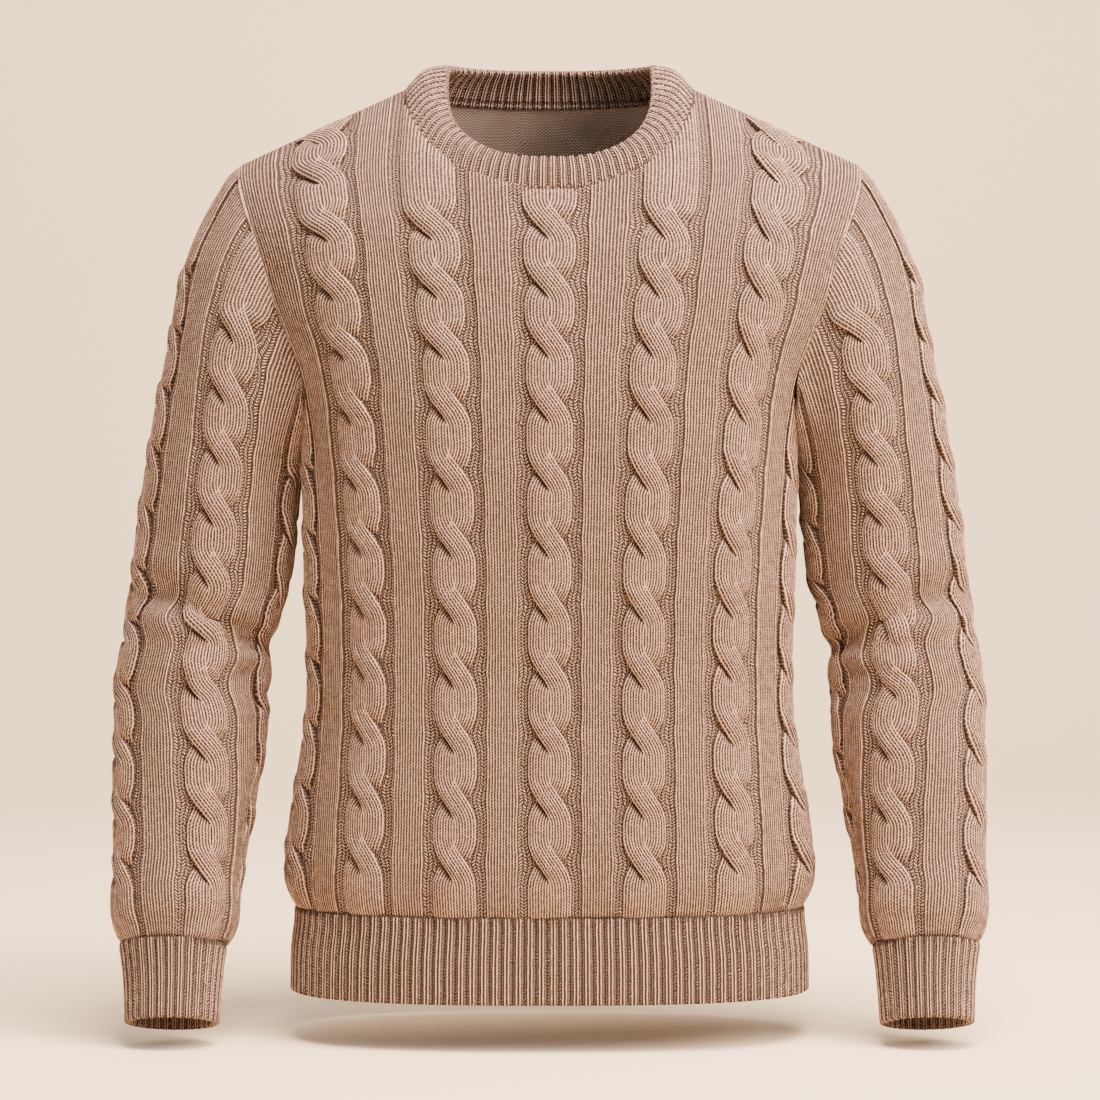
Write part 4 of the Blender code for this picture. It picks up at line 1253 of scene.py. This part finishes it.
class Nodes:
    """Adds nodes to one material."""

    def __init__(self, name):
        self.material = bpy.data.materials.new(name)
        self.material.use_nodes = True
        self.tree = self.material.node_tree

    def add(self, kind, settings, inputs):
        """One node, with its settings and then the values or links of its sockets."""
        node = self.tree.nodes.new(kind)
        for key, setting in settings.items():
            setattr(node, key, setting)
        self.feed(node, inputs)
        return node

    def feed(self, node, inputs):
        """Set or link a node's sockets."""
        for key, value in inputs.items():
            if isinstance(value, Value):
                value = value.socket
            if isinstance(value, bpy.types.NodeSocket):
                self.tree.links.new(value, node.inputs[key])
            else:
                node.inputs[key].default_value = value

    def finish(self, inputs):
        """Feed the surface, and give the material."""
        self.feed(self.tree.nodes["Principled BSDF"], inputs)
        return self.material

    def math(self, operation, *values):
        """A Math node."""
        node = self.add("ShaderNodeMath", {"operation": operation}, dict(enumerate(values)))
        return Value(self, node.outputs[0])

    def mix(self, factor, first, second):
        """A colour between two colours."""
        settings = {"data_type": "RGBA", "blend_type": "MIX"}
        return self.add("ShaderNodeMix", settings, {0: factor, 6: first, 7: second}).outputs[2]

    def noise(self, scale, detail):
        """Noise over the piece's own coordinates."""
        place = self.add("ShaderNodeTexCoord", {}, {}).outputs["Object"]
        inputs = {"Vector": place, "Scale": scale, "Detail": detail}
        return Value(self, self.add("ShaderNodeTexNoise", {}, inputs).outputs[0])

    def stitch(self, scale, across, along):
        """Wale, row and painted shade of the knitting (above 1, painted light), the first two wavering at
        random.
        """
        mark = self.add("ShaderNodeAttribute", {"attribute_name": "stitch"}, {})
        parts = self.add("ShaderNodeSeparateXYZ", {}, {"Vector": mark.outputs["Vector"]})
        wale, row, shade = (Value(self, output) for output in parts.outputs)
        waver = self.noise(scale, 1.0) - 0.5
        return wale + waver * across, row + waver * along, shade

    def loop(self, wale):
        """Place across a wale, from -0.5 to 0.5, and which way its legs lean, -1 or 1."""
        number = wale.floor()
        return wale - number - 0.5, number.fold(1.0) * 2.0 - 1.0


def wool(nodes, height, dark, shade, depth, yarn):
    """Finish a knitted material: height of its stitches, and how much painted shade darkens their gaps."""
    look = bpy.context.scene.sweater_look
    mottle = nodes.noise(34.0, 2.0).ramp(0.30, 0.70)
    fibre = nodes.noise(1100.0, 2.0).ramp(0.30, 0.70)
    colour = nodes.mix(mottle * 0.35, (*yarn, 1.0), (*look.yarn_pale, 1.0))
    colour = nodes.mix(fibre * 0.24, colour, (*look.yarn_deep, 1.0))
    # Painted shade: how far the colour goes towards the gap shade colour, from the gaps' darkness and the
    # stitch's own painted shade or painted light.
    hollow = (dark + (1.0 - shade)).ramp(0.0, 1.0) * 0.97
    relief = {"Height": height + fibre * 0.12, "Distance": depth, "Strength": 1.0}
    return nodes.finish({
        "Base Color": nodes.mix(hollow, colour, (*look.gap, 1.0)),
        "Roughness": 0.88,
        "Specular IOR Level": 0.12,
        "Sheen Weight": look.fuzz,
        "Sheen Roughness": 0.45,
        "Sheen Tint": (*look.yarn_pale, 1.0),
        "Normal": nodes.add("ShaderNodeBump", {}, relief).outputs["Normal"],
    })


def yarn_of(ribbed):
    """Colour of the yarn of the ribs or of the panels."""
    look = bpy.context.scene.sweater_look
    return look.rib_yarn if ribbed else look.yarn


@lru_cache(maxsize=None)
def knit_material(ribbed):
    """Plain knitting: upright wales of slanted legs, with painted shade in dots along the gaps between."""
    nodes = Nodes("rib_wales" if ribbed else "plain_knitting")
    wale, row, shade = nodes.stitch(160.0, 0.30, 0.9)
    off, lean = nodes.loop(wale)
    out = abs(off) * 2.0
    leg = (row + off * lean * 0.9).wave()
    weak = (wale + 0.5).floor().fold(1.0)
    hole = (row + weak * 0.5).wave()
    uneven = nodes.noise(420.0, 1.0).ramp(0.30, 0.70)
    # Painted shade in the gaps between wales, in dots, and between the rows of legs.
    dark = out.ramp(-0.14, 0.54) * (hole * 0.46 + 0.76) * (uneven * 0.30 + 0.85)
    dark = dark * (1.0 - weak * 0.10) + (1.0 - leg) * 0.12
    height = (1.0 - out * out) * (leg * 0.40 + 0.60)
    return wool(nodes, height, dark, shade, 0.0008, yarn_of(ribbed))


@lru_cache(maxsize=None)
def purl_material(ribbed):
    """Purl ground: short slanted bumps, with painted shade in the holes between."""
    nodes = Nodes("rib_valleys" if ribbed else "purl_knitting")
    wale, row, shade = nodes.stitch(240.0, 0.45, 1.3)
    off, lean = nodes.loop(wale)
    out = abs(off) * 2.0
    height = (row * 0.95 + off * lean * 1.15).wave() * (1.0 - out * out * out)
    # Painted shade in the holes between the bumps.
    return wool(nodes, height, 1.0 - height.ramp(0.40, 0.88), shade, 0.0010, yarn_of(ribbed))


@lru_cache(maxsize=None)
def reverse_material():
    """The wrong side of plain knitting: level rows that zigzag, with painted shade between them."""
    nodes = Nodes("reverse_knitting")
    wale, row, _ = nodes.stitch(45.0, 0.0, 2.25)
    bar = (row * 0.80 + wale.fold(0.5) * 1.5).wave()
    # Painted shade between the zigzag rows.
    dark = (1.0 - bar.ramp(0.15, 0.60)) * 0.74
    # The wrong side's colour is made pale as painted light, so that the inside, where little light reaches,
    # shows lighter.
    return wool(nodes, bar, dark, 1.0, 0.0008, bpy.context.scene.sweater_look.inside)


# ---- Settings ---------------------------------------------------------------------------------
def colour_property(name, description, default):
    """A colour that a user can change."""
    return bpy.props.FloatVectorProperty(
        name=name, description=description, subtype="COLOR", size=3, min=0.0, max=1.0, default=default
    )


def length_property(name, description, default):
    """A length that a user can change."""
    return bpy.props.FloatProperty(name=name, description=description, default=default, unit="LENGTH")


class SweaterLook(bpy.types.PropertyGroup):
    """Colours and fuzz of the yarn, with the painted shade of its gaps and the painted light of its wrong
    side.
    """

    yarn: colour_property("Yarn", "Colour of the yarn in the light", (0.68, 0.440, 0.330))
    rib_yarn: colour_property("Rib yarn", "Colour of the yarn of the ribs", (0.69, 0.460, 0.352))
    yarn_pale: colour_property("Pale yarn", "Colour of its lightest patches", (0.80, 0.540, 0.408))
    yarn_deep: colour_property("Deep yarn", "Colour between its fibres", (0.36, 0.222, 0.155))
    # Painted light: the wrong side's colour is far paler than the yarn, so that the inside, where little
    # light reaches, shows lighter.
    inside: colour_property("Inside", "Colour of the knitting's wrong side", (1.0, 0.84, 0.71))
    # Painted shade: the colour that the gaps between stitches are darkened towards.
    gap: colour_property("Gaps", "Colour deep between the stitches", (0.030, 0.0195, 0.0150))
    fuzz: bpy.props.FloatProperty(
        name="Fuzz", description="Strength of the soft sheen of loose fibres", default=0.05, min=0.0, max=1.0
    )


class SweaterKnit(bpy.types.PropertyGroup):
    """Fineness of the meshes and of the ribs."""

    ground_step: length_property("Ground step", "Height of one span of the ground", 0.005)
    hem_repeats: bpy.props.IntProperty(
        name="Hem ribs", description="Pairs of ribs round the hem", default=124
    )
    cuff_repeats: bpy.props.IntProperty(
        name="Cuff ribs", description="Pairs of ribs round a cuff", default=32
    )
    band_repeats: bpy.props.IntProperty(
        name="Neckband ribs", description="Pairs of ribs round the neck", default=84
    )


class SweaterStage(bpy.types.PropertyGroup):
    """The floor, the lights and the camera."""

    floor: colour_property("Floor", "Colour of the floor and the backdrop", (0.95, 0.785, 0.55))
    # Painted light: the paper's own glow, which stands in for lamplight on it.
    floor_glow: bpy.props.FloatProperty(
        name="Floor glow", description="Light given off by the lit paper", default=0.08, min=0.0
    )
    floor_height: length_property("Floor height", "Height of the floor", -0.727)
    camera_distance: length_property("Camera distance", "From the camera to the middle", 2.6)
    camera_height: length_property("Camera height", "Height of the level camera", -0.3554)
    view_width: length_property("View width", "Width of the view at the middle", 0.8481)


# ---- Operators --------------------------------------------------------------------------------
def declare(piece, node):
    """Hide the solid that a piece of cloth stands for."""
    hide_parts(node)


def knit_panel(facing):
    """Knit the front or the back, with its cables."""
    cloth = body(facing)
    columns = ground_columns(BODY_CABLES)
    level, kept = body_levels(cloth, columns, bpy.context.scene.sweater_knit.ground_step)
    piece = ground(cloth, columns, level, kept, facing.name + "_panel")
    ropes = cables(cloth, BODY_CABLES, facing.name + "_cables")
    declare(piece, facing.name)


class SWEATER_OT_panels(bpy.types.Operator):
    """Knit the front and the back"""

    bl_idname = "sweater.panels"
    bl_label = "Front and back"

    def execute(self, context):
        knit_panel(FRONT)
        knit_panel(BACK)
        return {"FINISHED"}


def knit_sleeve(node, mirrored):
    """Knit a sleeve, with its cables."""
    cloth = Sleeve(mirrored)
    columns = ground_columns(SLEEVE_CABLES)
    level, kept = sleeve_levels(columns, bpy.context.scene.sweater_knit.ground_step)
    piece = ground(cloth, columns, level, kept, node + "_panel", linked=True)
    ropes = cables(cloth, SLEEVE_CABLES, node + "_cables")
    declare(piece, node)


class SWEATER_OT_sleeves(bpy.types.Operator):
    """Knit both sleeves"""

    bl_idname = "sweater.sleeves"
    bl_label = "Sleeves"

    def execute(self, context):
        knit_sleeve("sleeve_left", False)
        knit_sleeve("sleeve_right", True)
        return {"FINISHED"}


class SWEATER_OT_ribs(bpy.types.Operator):
    """Knit the ribbed hem, cuffs and neckband"""

    bl_idname = "sweater.ribs"
    bl_label = "Hem, cuffs and neckband"

    def execute(self, context):
        knit = context.scene.sweater_knit
        rib_tube("hem_ribbing", "hem_rib", HEM_RIB, knit.hem_repeats, hem_place, hem_out)
        knit_cuff("cuff_left_ribbing", "cuff_left", knit.cuff_repeats, False)
        knit_cuff("cuff_right_ribbing", "cuff_right", knit.cuff_repeats, True)
        rib_tube("neck_ribbing", "neckband", BAND_RIB, knit.band_repeats, band_place, band_out)
        return {"FINISHED"}


def area_light(row):
    """A soft square light that faces a point."""
    data = bpy.data.lights.new(row.name, "AREA")
    data.shape = "SQUARE"
    data.size = row.size
    data.energy = row.power
    data.color = row.colour
    light = bpy.data.objects.new(row.name, data)
    light.location = row.place
    facing = Vector(row.target) - Vector(row.place)
    light.rotation_euler = facing.to_track_quat("-Z", "Y").to_euler()
    bpy.context.collection.objects.link(light)


def backdrop(stage):
    """A pale floor that runs up into a backdrop on a wide curve."""
    radius = PAPER_RADIUS
    run = PAPER_BACK - PAPER_FRONT - radius
    arc = radius * math.pi / 2.0
    total = run + arc + PAPER_HEIGHT - radius
    bm = bmesh.new()
    bmesh.ops.create_grid(bm, x_segments=2, y_segments=PAPER_ROWS, size=0.5)
    for vert in bm.verts:
        along = (vert.co.y + 0.5) * total
        angle = min(max((along - run) / radius, 0.0), math.pi / 2.0)
        y = PAPER_FRONT + min(along, run) + radius * math.sin(angle)
        z = radius * (1.0 - math.cos(angle)) + max(along - run - arc, 0.0)
        vert.co = Vector((vert.co.x * PAPER_WIDTH, y, stage.floor_height + z))
    mesh = bpy.data.meshes.new("backdrop")
    bm.to_mesh(mesh)
    bm.free()
    mesh.shade_smooth()
    mesh.materials.append(Nodes("backdrop_paper").finish({
        "Base Color": (*stage.floor, 1.0),
        "Roughness": 0.9,
        "Specular IOR Level": 0.1,
        # Painted light: the paper glows by itself.
        "Emission Color": PAPER_GLOW,
        "Emission Strength": stage.floor_glow,
    }))
    paper = bpy.data.objects.new("backdrop", mesh)
    bpy.context.collection.objects.link(paper)


class SWEATER_OT_stage(bpy.types.Operator):
    """Set up the floor, the lights and the camera"""

    bl_idname = "sweater.stage"
    bl_label = "Stage"

    def execute(self, context):
        stage = context.scene.sweater_stage
        backdrop(stage)
        for row in LIGHTS:
            area_light(row)
        world = context.scene.world or bpy.data.worlds.new("studio")
        context.scene.world = world
        world.use_nodes = True
        sky = world.node_tree.nodes["Background"]
        sky.inputs["Color"].default_value = SKY_COLOUR
        sky.inputs["Strength"].default_value = SKY_STRENGTH
        data = bpy.data.cameras.new("camera")
        data.lens = data.sensor_width * stage.camera_distance / stage.view_width
        camera = bpy.data.objects.new("camera", data)
        camera.location = (CAMERA_ASIDE, -stage.camera_distance, stage.camera_height)
        camera.rotation_euler = (math.pi / 2.0, 0.0, 0.0)
        context.collection.objects.link(camera)
        context.scene.camera = camera
        return {"FINISHED"}


class SWEATER_PT_sidebar(bpy.types.Panel):
    """The sweater's settings and steps"""

    bl_label = "Sweater"
    bl_idname = "SWEATER_PT_sidebar"
    bl_space_type = "VIEW_3D"
    bl_region_type = "UI"
    bl_category = "Sweater"

    def draw(self, context):
        for step in STEPS:
            self.layout.operator(step.bl_idname)
        for group in (context.scene.sweater_look, context.scene.sweater_knit, context.scene.sweater_stage):
            for key in group.bl_rna.properties.keys():
                if key not in ("rna_type", "name"):
                    self.layout.prop(group, key)


STEPS = (SWEATER_OT_stage, SWEATER_OT_panels, SWEATER_OT_sleeves, SWEATER_OT_ribs)
GROUPS = {"sweater_look": SweaterLook, "sweater_knit": SweaterKnit, "sweater_stage": SweaterStage}


def register():
    """Add the classes and the scene's settings."""
    for item in (*GROUPS.values(), *STEPS, SWEATER_PT_sidebar):
        bpy.utils.register_class(item)
    for name, group in GROUPS.items():
        setattr(bpy.types.Scene, name, bpy.props.PointerProperty(type=group))


def unregister():
    """Take them away again."""
    for name in GROUPS:
        delattr(bpy.types.Scene, name)
    for item in (SWEATER_PT_sidebar, *reversed(STEPS), *GROUPS.values()):
        bpy.utils.unregister_class(item)


def main():
    """Build the sweater and its stage."""
    register()
    bpy.ops.sweater.stage()
    bpy.ops.sweater.panels()
    bpy.ops.sweater.sleeves()
    bpy.ops.sweater.ribs()


if __name__ == "__main__":
    main()
